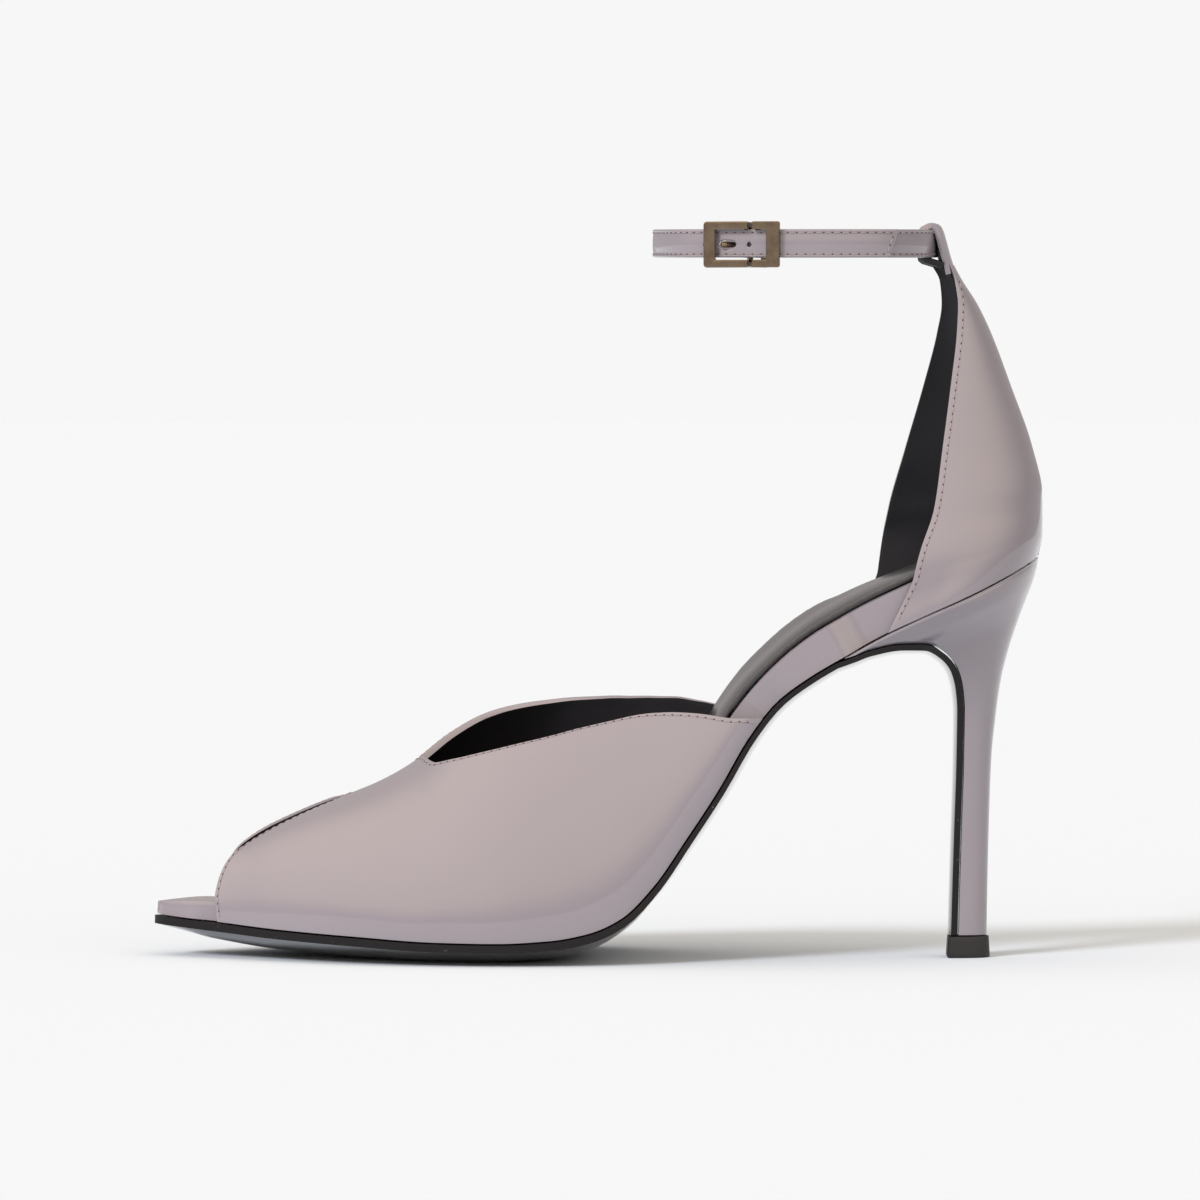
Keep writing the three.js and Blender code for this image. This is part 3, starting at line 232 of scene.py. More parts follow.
def column(rows, by, key):
    """Smooth reading of one column of a table."""
    x = [row[by] for row in rows]
    y = [row[key] for row in rows]
    n = len(x)
    d = [(y[i + 1] - y[i]) / (x[i + 1] - x[i]) for i in range(n - 1)]
    m = [d[0]]
    for i in range(1, n - 1):
        a = x[i] - x[i - 1]
        b = x[i + 1] - x[i]
        if d[i - 1] * d[i] <= 0:
            m.append(0.0)
        else:
            m.append(3 * (a + b) / ((2 * b + a) / d[i - 1] + (b + 2 * a) / d[i]))
    m.append(d[-1])

    def read(at):
        t = min(max(at, x[0]), x[-1])
        i = 0
        while i < n - 2 and t > x[i + 1]:
            i += 1
        h = x[i + 1] - x[i]
        s = (t - x[i]) / h
        s2 = s * s
        s3 = s2 * s
        low = (2 * s3 - 3 * s2 + 1) * y[i] + (s3 - 2 * s2 + s) * h * m[i]
        return low + (3 * s2 - 2 * s3) * y[i + 1] + (s3 - s2) * h * m[i + 1]

    return read


bed = {key: column(BED, "along", key) for key in BED[0] if key != "along"}


def centre(x):
    return BALL_WIDTH * bed["swing"](x / LENGTH)


def half_width(x, inset):
    base = BALL_WIDTH * bed["half"](x / LENGTH) - inset
    toe = (TOE_CAP - x) / (TOE_CAP + HALF_LENGTH - inset)
    seat = (x - SEAT_CAP) / (SEAT_BACK - inset - SEAT_CAP)
    cap = 1.0
    if toe > 0:
        cap = max(1 - toe ** 2.2, 0) ** 0.5
    if seat > 0:
        cap = max(1 - seat ** 2.1, 0) ** 0.5
    return base * cap


def bed_height(x, y):
    s = x / LENGTH
    across = (y - centre(x)) / (BALL_WIDTH * bed["half"](s))
    lift = min(max(across, 0), 1.1) ** 2
    return HEEL_HEIGHT * (bed["rise"](s) + bed["lift"](s) * lift)


def bed_slope(x):
    step = 0.5
    rise = bed["rise"]((x + step) / LENGTH) - bed["rise"]((x - step) / LENGTH)
    return HEEL_HEIGHT * rise / (2 * step)


def bed_point(x, y, h):
    slope = bed_slope(x)
    long = math.hypot(slope, 1)
    return Vector((x - h * slope / long, y, bed_height(x, y) + h / long))


def clear_of_bed(x, y):
    return bed_height(x, y) + 1.4 * GAP * math.hypot(bed_slope(x), 1)


# Breast and back of the heel
HEEL_TOP = HEEL_HEIGHT - TOP_LIFT - GAP
SOLE_END = LENGTH * HEEL[0]["along"]
HEEL[0]["rise"] = (bed_height(SOLE_END, centre(SOLE_END)) - TOP_LIFT - GAP) / HEEL_TOP
way = [0.0]
for one, two in zip(HEEL, HEEL[1:]):
    step = math.hypot((two["along"] - one["along"]) * LENGTH, (two["rise"] - one["rise"]) * HEEL_TOP)
    way.append(way[-1] + step)
for row, at in zip(HEEL, way):
    row["way"] = at / way[-1]
heel_read = {key: column(HEEL, "way", key) for key in HEEL[0] if key != "way"}
LIP = HEEL[1]["way"]
LIP_X = LENGTH * HEEL[1]["along"]
LIP_TIP = LENGTH * 0.2735


def drop_height(share):
    return TOP_LIFT + GAP + share * HEEL_TOP


def breast(t):
    return LENGTH * heel_read["along"](t), drop_height(heel_read["rise"](t))


def breast_side(t, distance):
    x, z = breast(t)
    ax, az = breast(max(t - 0.004, 0))
    bx, bz = breast(min(t + 0.004, 1))
    long = math.hypot(bx - ax, bz - az)
    return x - (bz - az) / long * distance, z + (bx - ax) / long * distance


def heel_point(t, q, side):
    seat_x = mix(LIP_TIP if t < LIP else LIP_X, SEAT_BACK, q)
    seat_half = half_width(seat_x, 0.1)
    seat_y = centre(seat_x) + side * seat_half
    if t < LIP:
        return Vector((seat_x, seat_y, bed_height(seat_x, seat_y)))
    fx, fz = breast_side(t, GAP)
    back_x = LENGTH * heel_read["backAlong"](t)
    back_z = drop_height(heel_read["backRise"](t))
    ends = mix(bed_height(LIP_X, seat_y), bed_height(SEAT_BACK, AXIS), q)
    bow = bed_height(seat_x, seat_y) - ends
    turn = heel_read["column"](t)
    round_off = max(1 - q ** 2.6, 0) ** 0.46
    half = mix(seat_half, BALL_WIDTH * heel_read["half"](t) * round_off, turn)
    middle = mix(centre(seat_x), AXIS, turn)
    return Vector((mix(fx, back_x, q), middle + side * half, mix(fz, back_z, q) + bow * (1 - turn)))


# Vamp
vamp_read = {key: column(VAMP, "along", key) for key in VAMP[0] if key != "along"}


def vamp_point(x, side, girth):
    s = x / LENGTH
    y0 = centre(x) + side * half_width(x, 0.2)
    z0 = clear_of_bed(x, y0)
    yc = mix(centre(x), AXIS * 0.4, smooth(x / (0.45 * LENGTH) + 0.6))
    zc = INSTEP * vamp_read["crest"](s)
    reach = abs(y0 - yc)
    a = (1 - girth) ** 3
    b = 3 * (1 - girth) ** 2 * girth
    c = 3 * (1 - girth) * girth ** 2
    d = girth ** 3
    y1 = y0 + side * reach * vamp_read["flare"](s)
    y2 = yc + side * reach * vamp_read["top"](s)
    z1 = z0 + (zc - z0) * vamp_read["side"](s)
    return Vector((x, a * y0 + b * y1 + c * y2 + d * yc, a * z0 + b * z1 + (c + d) * zc))


def girth_at(x, side, z):
    return halved(1.0, 40, lambda girth: vamp_point(x, side, girth).z < z)


def throat_curve(rows, side):
    found = []
    for row in rows:
        girth = girth_at(LENGTH * row["along"], side, INSTEP * row["rise"])
        found.append({"girth": girth, "along": row["along"]})
    found.append({"girth": 0.0, "along": THROAT_END})
    found.append({"girth": 1.0, "along": THROAT_POINT})
    found.sort(key=lambda row: row["girth"])
    return column(found, "girth", "along")


peep_edge = column(PEEP, "girth", "along")
throat = {-1: throat_curve(THROAT_LATERAL, -1), 1: throat_curve(THROAT_MEDIAL, 1)}


def vamp_surface(girth, side, u):
    front = LENGTH * peep_edge(girth)
    if side < 0:
        front += PEEP_SET_BACK * smooth((girth - 0.60) / 0.3) * smooth((1 - girth) / 0.02)
    x = mix(front, LENGTH * throat[side](girth), u)
    p = vamp_point(x, side, girth)
    curl = smooth((girth - 0.60) / 0.25) * smooth((1 - girth) / 0.03) * (1 - smooth(u / 0.14))
    p.z += curl * (PEEP_CURL if side > 0 else -0.6 * PEEP_CURL)
    return p


def vamp_sheet(u, v):
    """The vamp by its way from the peep edge to the throat and its way over the foot."""
    side = -1 if v < 0.5 else 1
    girth = 2 * v if v < 0.5 else 2 - 2 * v
    return vamp_surface(girth, side, u)


# Counter
counter_read = {key: column(COUNTER, "level", key) for key in COUNTER[0] if key != "level"}


def counter_point(phi, level):
    turn = math.pi * phi
    lateral = phi < 0.5
    side = -1 if lateral else 1
    away = math.sin(turn)
    front = counter_read["lateral" if lateral else "medial"]
    x = mix(LENGTH * front(level), LENGTH * counter_read["back"](level), away)
    half = BALL_WIDTH * counter_read["halfLateral" if lateral else "halfMedial"](level)
    round_y = AXIS + side * half * abs(math.cos(turn)) ** 0.95
    seat_x = mix(LENGTH * COUNTER[0]["lateral" if lateral else "medial"], SEAT_BACK, away)
    seat_y = centre(seat_x) + side * half_width(seat_x, 0.2)
    ring_z = HEIGHT * mix(counter_read["front"](level), counter_read["backRise"](level), away)
    base = COUNTER[1]
    z = ring_z
    if level < base["level"]:
        low_z = HEIGHT * mix(base["front"], base["backRise"], away)
        z = mix(clear_of_bed(seat_x, seat_y), low_z, level / base["level"])
    return Vector((x, mix(seat_y, round_y, smooth(level / 0.3)), z))


# Strap path seen from above, a centripetal curve through the table's points
def strap_samples():
    points = [Vector((row["along"] * LENGTH, AXIS + row["across"] * BALL_WIDTH)) for row in STRAP]
    points = [2 * points[0] - points[1]] + points + [2 * points[-1] - points[-2]]
    out = []
    for i in range(1, len(points) - 2):
        p0, p1, p2, p3 = points[i - 1:i + 3]
        d0, d1, d2 = (math.sqrt((b - a).length) for a, b in ((p0, p1), (p1, p2), (p2, p3)))
        t0 = ((p1 - p0) / d0 - (p2 - p0) / (d0 + d1) + (p2 - p1) / d1) * d1
        t1 = ((p2 - p1) / d1 - (p3 - p1) / (d1 + d2) + (p3 - p2) / d2) * d1
        square = 3 * p2 - 3 * p1 - 2 * t0 - t1
        cube = 2 * p1 - 2 * p2 + t0 + t1
        for k in range(24):
            t = k / 24
            out.append(p1 + t0 * t + square * t * t + cube * t ** 3)
    out.append(points[-2])
    return out


PATH = strap_samples()
REACH = [0.0]
for one, two in zip(PATH, PATH[1:]):
    REACH.append(REACH[-1] + (two - one).length)
STRAP_LONG = REACH[-1]
STRAP_TOP = HEIGHT - 2
STRAP_LOW = STRAP_TOP - STRAP_WIDTH
LAYER = STRAP_THICK + GAP
TIP = 0.3320 * LENGTH
FREE_LONG = TIP - STRAP[0]["along"] * LENGTH + 1.2
TURN_RADIUS = BAR_RADIUS + 0.3 + STRAP_THICK / 2
BUCKLE_MIDDLE = (STRAP_TOP + STRAP_LOW) / 2 - 0.3
HOLE_START = -4.6


def path_point(distance):
    s = min(max(distance, 0.0), STRAP_LONG)
    low, high = 0, len(REACH) - 1
    while high - low > 1:
        mid = (low + high) // 2
        if REACH[mid] <= s:
            low = mid
        else:
            high = mid
    return PATH[low].lerp(PATH[high], (s - REACH[low]) / (REACH[high] - REACH[low]))


def strap_frame(distance):
    p = path_point(distance)
    d = (path_point(distance + 0.4) - path_point(distance - 0.4)).normalized()
    return p, Vector((d.y, -d.x)), d


def strap_point(distance, off, z):
    wrapped = distance - STRAP_LONG if distance > STRAP_LONG else distance
    p, out, _ = strap_frame(wrapped)
    raised = STRAP_RISE * (p.y - PATH[0].y) / (2 * (AXIS - PATH[0].y))
    return Vector((p.x + out.x * off, p.y + out.y * off, z + raised))


def strap_offset(s):
    return LAYER * smooth((s - 0.83 * STRAP_LONG) / (0.125 * STRAP_LONG))


def hook_point(t, off, z):
    p, out, d = strap_frame(0.0)
    angle = math.pi * t
    radius = TURN_RADIUS + off
    along = -radius * math.sin(angle)
    deep = -TURN_RADIUS - radius * math.cos(angle)
    return Vector((p.x + d.x * along + out.x * deep, p.y + d.y * along + out.y * deep, z))


# Materials
def tone(code):
    """An sRGB hex colour as linear numbers."""
    parts = [int(code[i:i + 2], 16) / 255 for i in (0, 2, 4)]
    linear = [c / 12.92 if c <= 0.04045 else ((c + 0.055) / 1.055) ** 2.4 for c in parts]
    return (*linear, 1.0)


def add(tree, kind, settings=None, **links):
    """Adds one node with its settings and its links."""
    node = tree.nodes.new(kind)
    for name, value in (settings or {}).items():
        if hasattr(node, name):
            setattr(node, name, value)
        else:
            node.inputs[name].default_value = value
    for name, source in links.items():
        tree.links.new(source, node.inputs[name.replace("_", " ")])
    return node


def new_material(name, settings):
    """A principled material. The settings are constants on the shader's own sockets."""
    material = bpy.data.materials.new(name)
    material.use_nodes = True
    tree = material.node_tree
    tree.nodes.clear()
    shader = add(tree, "ShaderNodeBsdfPrincipled", settings)
    out = add(tree, "ShaderNodeOutputMaterial")
    tree.links.new(shader.outputs["BSDF"], out.inputs["Surface"])
    return material, tree, shader


def pattern(tree, kind, size, **settings):
    """A pattern fixed to the piece, with features of about this many millimetres."""
    place = add(tree, "ShaderNodeTexCoord")
    scale = 1 / (size * MM)
    return add(tree, kind, {"Scale": scale, **settings}, Vector=place.outputs["Object"])


def clouds(tree, size, detail=2.0, **settings):
    return pattern(tree, "ShaderNodeTexNoise", size, Detail=detail, **settings).outputs["Fac"]


def cells(tree, size):
    return pattern(tree, "ShaderNodeTexVoronoi", size).outputs["Distance"]


def tint(tree, shader, share, low, high):
    """Blends two tones into the base colour."""
    colour = add(tree, "ShaderNodeMix", {"data_type": "RGBA", "A": low, "B": high}, Factor=share)
    tree.links.new(colour.outputs["Result"], shader.inputs["Base Color"])


def emboss(tree, shader, height, strength, depth):
    """Dents the surface by a pattern, to a depth in millimetres."""
    bump = add(tree, "ShaderNodeBump", {"Strength": strength, "Distance": depth * MM}, Height=height)
    tree.links.new(bump.outputs["Normal"], shader.inputs["Normal"])


def polish(tree, shader, share, low, high):
    """Varies the roughness by a pattern."""
    rough = add(tree, "ShaderNodeMapRange", {"To Min": low, "To Max": high}, Value=share)
    tree.links.new(rough.outputs["Result"], shader.inputs["Roughness"])


def patent_leather():
    # Coated calf: a clear lacquer over a soft tinted ground, so it has a sharp sheen with slow waves in it
    material, tree, shader = new_material("lilac_patent_leather", {
        "Roughness": 0.32, "IOR": 1.5, "Coat Weight": 0.9, "Coat Roughness": 0.05, "Coat IOR": 1.65,
    })
    tint(tree, shader, clouds(tree, 38), (0.196, 0.177, 0.214, 1.0), (0.212, 0.191, 0.229, 1.0))
    wave = add(tree, "ShaderNodeBump", {"Strength": 0.10, "Distance": 0.6 * MM}, Height=clouds(tree, 17, 1.5))
    peel = add(tree, "ShaderNodeBump", {"Strength": 0.05, "Distance": 0.03 * MM},
               Height=clouds(tree, 1.3), Normal=wave.outputs["Normal"])
    tree.links.new(peel.outputs["Normal"], shader.inputs["Normal"])
    tree.links.new(wave.outputs["Normal"], shader.inputs["Coat Normal"])
    return material


def lining():
    # Thin dressed goatskin lining: charcoal, matt, with a fine pebble
    material, tree, shader = new_material("charcoal_lining_leather", {
        "Roughness": 0.66, "Specular IOR Level": 0.25,
    })
    tint(tree, shader, clouds(tree, 9, 4.0), tone("1c1c21"), tone("26262c"))
    emboss(tree, shader, cells(tree, 0.8), 0.25, 0.1)
    return material


def sock_leather():
    # Padded sock of black finished leather: satin, catches a grey band where it turns
    material, tree, shader = new_material("black_sock_leather", {
        "Specular IOR Level": 0.22, "Coat Weight": 1.0, "Coat Roughness": 0.24,
    })
    cloud = clouds(tree, 12, 3.0)
    tint(tree, shader, cloud, tone("1b1b21"), tone("26262d"))
    emboss(tree, shader, cells(tree, 0.6), 0.18, 0.08)
    polish(tree, shader, cloud, 0.30, 0.42)
    return material


def sole_leather():
    # Black waxed edge of the sole: satin, with small grey chips
    material, tree, shader = new_material("black_waxed_sole", {"Specular IOR Level": 0.30})
    chips = clouds(tree, 1.1, 5.0, Roughness=0.7)
    mask = add(tree, "ShaderNodeMapRange", {"From Min": 0.66, "From Max": 0.74}, Value=chips)
    tint(tree, shader, mask.outputs["Result"], tone("0c0b10"), tone("5a5860"))
    emboss(tree, shader, chips, 0.12, 0.08)
    polish(tree, shader, chips, 0.32, 0.50)
    return material


def tread_leather():
    # Underside of the sole: black leather burnished to a mirror, so it takes the light of the floor
    material, tree, shader = new_material("black_burnished_tread", {
        "Roughness": 0.12, "IOR": 1.6, "Coat Weight": 1.0, "Coat Roughness": 0.04, "Coat IOR": 1.7,
    })
    tint(tree, shader, clouds(tree, 14, 3.0), tone("0d0d12"), tone("17171d"))
    return material


def lift_rubber():
    # Moulded polyurethane top piece: black, dull, with a faint pimple
    material, tree, shader = new_material("black_lift_rubber", {"Roughness": 0.5})
    grit = clouds(tree, 0.5, 3.0)
    tint(tree, shader, grit, tone("121216"), tone("1c1c21"))
    emboss(tree, shader, grit, 0.2, 0.06)
    return material


def pale_gold():
    # Light gold plating over polished zinc: mirror bright, with fine rubbing marks
    material, tree, shader = new_material("pale_gold_plating", {"Metallic": 1.0})
    rub = clouds(tree, 2.2, 4.0)
    tint(tree, shader, rub, (0.16, 0.118, 0.085, 1.0), (0.30, 0.232, 0.168, 1.0))
    polish(tree, shader, rub, 0.12, 0.26)
    return material


def thread():
    # Bonded nylon thread in the leather's tone: soft sheen, slightly lighter
    material, tree, shader = new_material("lilac_nylon_thread", {"Roughness": 0.55})
    tint(tree, shader, clouds(tree, 0.4, 1.0), tone("857a80"), tone("9c9096"))
    return material


def painted_hole_shade():
    # Painted shade for the hole a needle leaves: a small dark bead laid on the leather where the hole's
    # recess would be in shade, not a dent
    material, tree, shader = new_material("stitch_hole_painted_shade", {"Roughness": 0.9})
    tint(tree, shader, clouds(tree, 0.5), tone("3c3236"), tone("4c4146"))
    return material


LEATHER = patent_leather()
LINING = lining()
SOCK_SKIN = sock_leather()
SOLE_SKIN = sole_leather()
TREAD_SKIN = tread_leather()
RUBBER = lift_rubber()
GOLD = pale_gold()
THREAD = thread()
# painted shade at the needle holes of the seams
HOLE_SHADE = painted_hole_shade()


# Pieces
def to_mesh(bm, name):
    """Ends a bmesh and gives its mesh."""
    mesh = bpy.data.meshes.new(name)
    bm.to_mesh(mesh)
    bm.free()
    return mesh


def put(name, data):
    """Puts an object with this data in the scene."""
    made = bpy.data.objects.new(name, data)
    bpy.context.scene.collection.objects.link(made)
    return made


def lay(x_axis, y_axis, z_axis, at):
    """The matrix that lays these axes at this place, from millimetres to metres."""
    rows = [(x_axis[i], y_axis[i], z_axis[i], at[i]) for i in range(3)]
    return Matrix.Scale(MM, 4) @ Matrix((*rows, (0, 0, 0, 1)))


def level(flat):
    """A direction in plan as one in space."""
    return Vector((flat.x, flat.y, 0))


def shaped_grid(bm, rows, columns, place, along=1.0, across=1.0):
    """Adds a grid, moves its points to place(u, v), and maps it in metres."""
    sheet = bm.loops.layers.uv.verify()
    made = bmesh.ops.create_grid(bm, x_segments=rows, y_segments=columns, size=1.0)
    share = {v: ((v.co.x + 1) / 2, (v.co.y + 1) / 2) for v in made["verts"]}
    for face in {face for v in share for face in v.link_faces}:
        for loop in face.loops:
            u, v = share[loop.vert]
            loop[sheet].uv = (u * along * MM, v * across * MM)
    for v, (a, b) in share.items():
        v.co = place(a, b) * MM
    return made["verts"]


def finish_piece(bm, name, materials, nodes=(), closed=True):
    """Makes the object, smooths it, and hangs it on the part."""
    bmesh.ops.remove_doubles(bm, verts=bm.verts, dist=0.000002)
    if closed:
        bmesh.ops.recalc_face_normals(bm, faces=bm.faces)
    for face in bm.faces:
        face.smooth = True
    mesh = to_mesh(bm, name)
    for material in materials:
        mesh.materials.append(material)
    piece = put(name, mesh)
    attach(piece, "root")
    if nodes:
        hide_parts(*nodes)
    return piece


def wall(piece, thick, bevel):
    """Gives a sheet its wall, with the lining inside and a rolled rim."""
    solid = piece.modifiers.new("wall", "SOLIDIFY")
    solid.thickness = thick * MM
    solid.offset = -1.0
    solid.use_even_offset = True
    solid.material_offset = 1
    solid.material_offset_rim = 0
    rolled = piece.modifiers.new("rolled rim", "BEVEL")
    rolled.width = bevel * MM
    rolled.segments = 3
    rolled.limit_method = "ANGLE"
    rolled.angle_limit = math.radians(50)
    return piece


def ring_place(rows):
    """Reads a list of rings by shares; the last column repeats the first."""
    def place(u, v):
        ring = rows[round(u * (len(rows) - 1))]
        return ring[round(v * len(ring)) % len(ring)]
    return place


def closed_loft(bm, rings, along=1.0, across=1.0):
    """A tube through rings of the same count, with a fan at each open end."""
    shaped_grid(bm, len(rings) - 1, len(rings[0]), ring_place(rings), along, across)
    for ring in (rings[0], rings[-1]):
        middle = sum(ring, Vector()) / len(ring)
        shaped_grid(bm, 1, len(ring), ring_place([[middle] * len(ring), ring]))


def spread(count, power=1.0):
    """Shares from -1 to 1, closer together near both edges."""
    out = []
    for i in range(count + 1):
        t = 2 * i / count - 1
        out.append(math.copysign(1 - (1 - abs(t)) ** power, t))
    return out


def section(count):
    """One closed section as shares: across, and up from 0 to 1, with points down each side."""
    out = []
    across = spread(count, 1.35)
    for s in across:
        out.append((s, 1.0))
    for step in (0.25, 0.5, 0.75):
        out.append((1.0, 1 - step))
    for s in reversed(across):
        out.append((s, 0.0))
    for step in (0.25, 0.5, 0.75):
        out.append((-1.0, step))
    return out


VAMP_WAY = 130.0
SKIVED = 0.34
SKIVE_SHARE = 0.08


def make_vamp():
    """The vamp. Its wall thins towards the peep edge, which is skived and turned."""
    bm = bmesh.new()
    shaped_grid(bm, 110, 130, vamp_sheet, VAMP_WAY, 190.0)
    piece = finish_piece(bm, "vamp_leather", [LEATHER, LINING], ["vamp"], closed=False)
    full = piece.vertex_groups.new(name="full_wall")
    for loop, place in zip(piece.data.loops, piece.data.uv_layers[0].data):
        share = place.uv.x / (VAMP_WAY * MM)
        full.add([loop.vertex_index], mix(SKIVED, 1.0, smooth(share / SKIVE_SHARE)), "REPLACE")
    piece = wall(piece, WALL - 0.1, 0.3)
    piece.modifiers["wall"].vertex_group = "full_wall"
    return piece


# The folded tunnel in section: out from the strap's back, and up from the top of the shoe
TUNNEL = [(5.0, -12.6), (4.6, -10.6), (3.9, -8.4), (3.4, -6.6), (2.8, -4.4), (2.2, -2.3), (1.6, -0.9),
          (0.9, -0.25), (0.1, 0.0), (-0.8, -0.15), (-1.6, -0.55), (-2.3, -1.4), (-2.6, -2.4),
          (-2.6, -5.4), (-2.6, -8.2), (-2.3, -9.2), (-1.4, -9.9), (0.6, -10.5), (2.9, -11.2)]


def make_counter():
    """The counter and, over its top, the tunnel for the strap. The tunnel's lower lap shows its lining."""
    bm = bmesh.new()
    shaped_grid(bm, 96, 110, counter_point, 120.0, 90.0)
    back_x = STRAP[5]["along"] * LENGTH

    def tunnel(u, v):
        y = TUNNEL_WIDTH * (u - 0.5)
        at = v * (len(TUNNEL) - 1)
        i = min(int(at), len(TUNNEL) - 2)
        out, up = (mix(a, b, at - i) for a, b in zip(TUNNEL[i], TUNNEL[i + 1]))
        return Vector((back_x + out - TUNNEL_BOW * 4 * y * y / TUNNEL_WIDTH ** 2, AXIS + y, HEIGHT + up))

    band = shaped_grid(bm, 24, 54, tunnel, TUNNEL_WIDTH, TUNNEL_WAY)
    sheet = bm.loops.layers.uv.verify()
    for face in {face for vert in band for face in vert.link_faces}:
        if face.loops[0][sheet].uv.y > FLAP_SHARE * TUNNEL_WAY * MM:
            face.material_index = 1
    skins = [LEATHER, LINING]
    piece = finish_piece(bm, "counter_leather", skins, ["counter"], closed=False)
    return wall(piece, COUNTER_WALL, 0.4)


STATIONS = [mix(TOE_CAP, SOLE_END, i / 70) for i in range(1, 71)]
SEAT_STATIONS = [mix(SOLE_END, SEAT_CAP, i / 14) for i in range(1, 15)]
TOE_SHARES = [0.0, 0.04, 0.1, 0.2, 0.32, 0.46, 0.62, 0.8, 1.0]
SOLE_AROUND = 150.0
WAIST_EDGE = 0.8
WAIST_TRIM = 1.25
WAIST_BELLY = 1.9


def make_outsole():
    rings = []
    shape = section(26)
    for x in [mix(-HALF_LENGTH, TOE_CAP, s) for s in TOE_SHARES] + STATIONS:
        half = half_width(max(x, 0.12 - HALF_LENGTH), 0)
        waist = smooth((x + 8) / 34)
        belly = max(SOLE_BELLY * bed["belly"](x / LENGTH) * min(half / 12, 1), WAIST_BELLY * waist)
        edge = mix(SOLE_EDGE, WAIST_TRIM, waist)
        ring = []
        for s, up in shape:
            deep = edge + belly * (1 - abs(s) ** 2.4)
            p = bed_point(x, centre(x) + s * half, -deep * (1 - up))
            p.z = max(p.z, 0)
            ring.append(p)
        rings.append(ring)
    for i in range(1, 91):
        t = i / 90
        blend = smooth(t / LIP)
        edge = heel_point(max(t, LIP), 0, 1)
        other = heel_point(max(t, LIP), 0, -1)
        half = mix(half_width(SOLE_END, 0), (edge.y - other.y) / 2 + 0.15, blend)
        mid = mix(centre(SOLE_END), (edge.y + other.y) / 2, blend)
        belly = mix(WAIST_BELLY, 0.7, smooth(t * 2))
        thick = mix(WAIST_TRIM, WAIST_EDGE * SOLE_EDGE, smooth(t * 3))
        ring = []
        for s, up in shape:
            deep = (thick + belly * (1 - abs(s) ** 2.4)) * (1 - up)
            x, z = breast_side(t, -deep)
            raised = bed_height(SOLE_END, mid + s * half) - bed_height(SOLE_END, mid)
            ring.append(Vector((x, mid + s * half, z + (1 - blend) * raised)))
        rings.append(ring)
    bm = bmesh.new()
    closed_loft(bm, rings, 330.0, SOLE_AROUND)
    sheet = bm.loops.layers.uv.verify()
    for face in bm.faces:
        share = sum(loop[sheet].uv.y for loop in face.loops) / len(face.loops) / (SOLE_AROUND * MM)
        face.material_index = 1 if 30.5 / len(shape) < share < 56 / len(shape) else 0
    piece = finish_piece(bm, "outsole_leather", [SOLE_SKIN, TREAD_SKIN], ["outsole"])
    return rounded(piece, 0.22)


def rounded(piece, width, angle=55):
    edge = piece.modifiers.new("trimmed edge", "BEVEL")
    edge.width = width * MM
    edge.segments = 3
    edge.limit_method = "ANGLE"
    edge.angle_limit = math.radians(angle)
    flat = piece.modifiers.new("flat faces", "WEIGHTED_NORMAL")
    flat.keep_sharp = True
    return piece


BOARD_INSET = table("along inset", [
    (-0.5000, 0.8),
    (-0.4540, 0.8),
    (-0.4370, 2.7),
    (0.1950, 2.7),
    (0.2180, 0.9),
    (0.2790, 0.9),
    (0.2950, 2.9),
    (0.5000, 2.9),
])
read_inset = column(BOARD_INSET, "along", "inset")


BOARD_FRONT = 0.5
BOARD_GAP = 0.42


def board_top(x):
    return GAP + BOARD * bed["board"](x / LENGTH)


def wrap_rise(x, s):
    """The wrap stands higher along the lateral edge of the waist."""
    return 1.6 * smooth((x - 22) / 16) * smooth(-s)


def back_stations(inset):
    shares = [0.3, 0.45, 0.58, 0.7, 0.8, 0.88, 0.94, 0.975, 0.995]
    return [mix(SEAT_CAP, SEAT_BACK - inset, s) for s in shares]


def make_board():
    rings = []
    shape = section(24)
    toes = [mix(BOARD_FRONT - HALF_LENGTH, TOE_CAP, s) for s in TOE_SHARES]
    for x in toes + STATIONS + SEAT_STATIONS + back_stations(2.9):
        half = half_width(x, read_inset(x / LENGTH))
        high = board_top(x)
        ring = []
        for s, up in shape:
            drop = 0.05 * BOARD * max(abs(s) - 0.96, 0) / 0.04
            ring.append(bed_point(x, centre(x) + s * half, mix(BOARD_GAP, high - drop + wrap_rise(x, s), up)))
        rings.append(ring)
    bm = bmesh.new()
    closed_loft(bm, rings, 260.0, 120.0)
    piece = finish_piece(bm, "board_wrap", [LEATHER], ["insole_board"])
    return rounded(piece, 0.35)


SOCK_SHAPE = table("along thick inset", [
    (-0.426, 0.26, 3.1),
    (-0.360, 0.34, 3.1),
    (-0.180, 0.50, 3.1),
    (0.090, 0.92, 3.1),
    (0.150, 1.06, 3.0),
    (0.215, 1.06, 2.2),
    (0.280, 1.14, 2.2),
    (0.300, 1.12, 3.5),
    (0.500, 0.92, 3.5),
])
sock_thick = column(SOCK_SHAPE, "along", "thick")
sock_inset = column(SOCK_SHAPE, "along", "inset")
SOCK_FRONT = SOCK_SHAPE[0]["along"] * LENGTH
SOCK_NOSE = 5


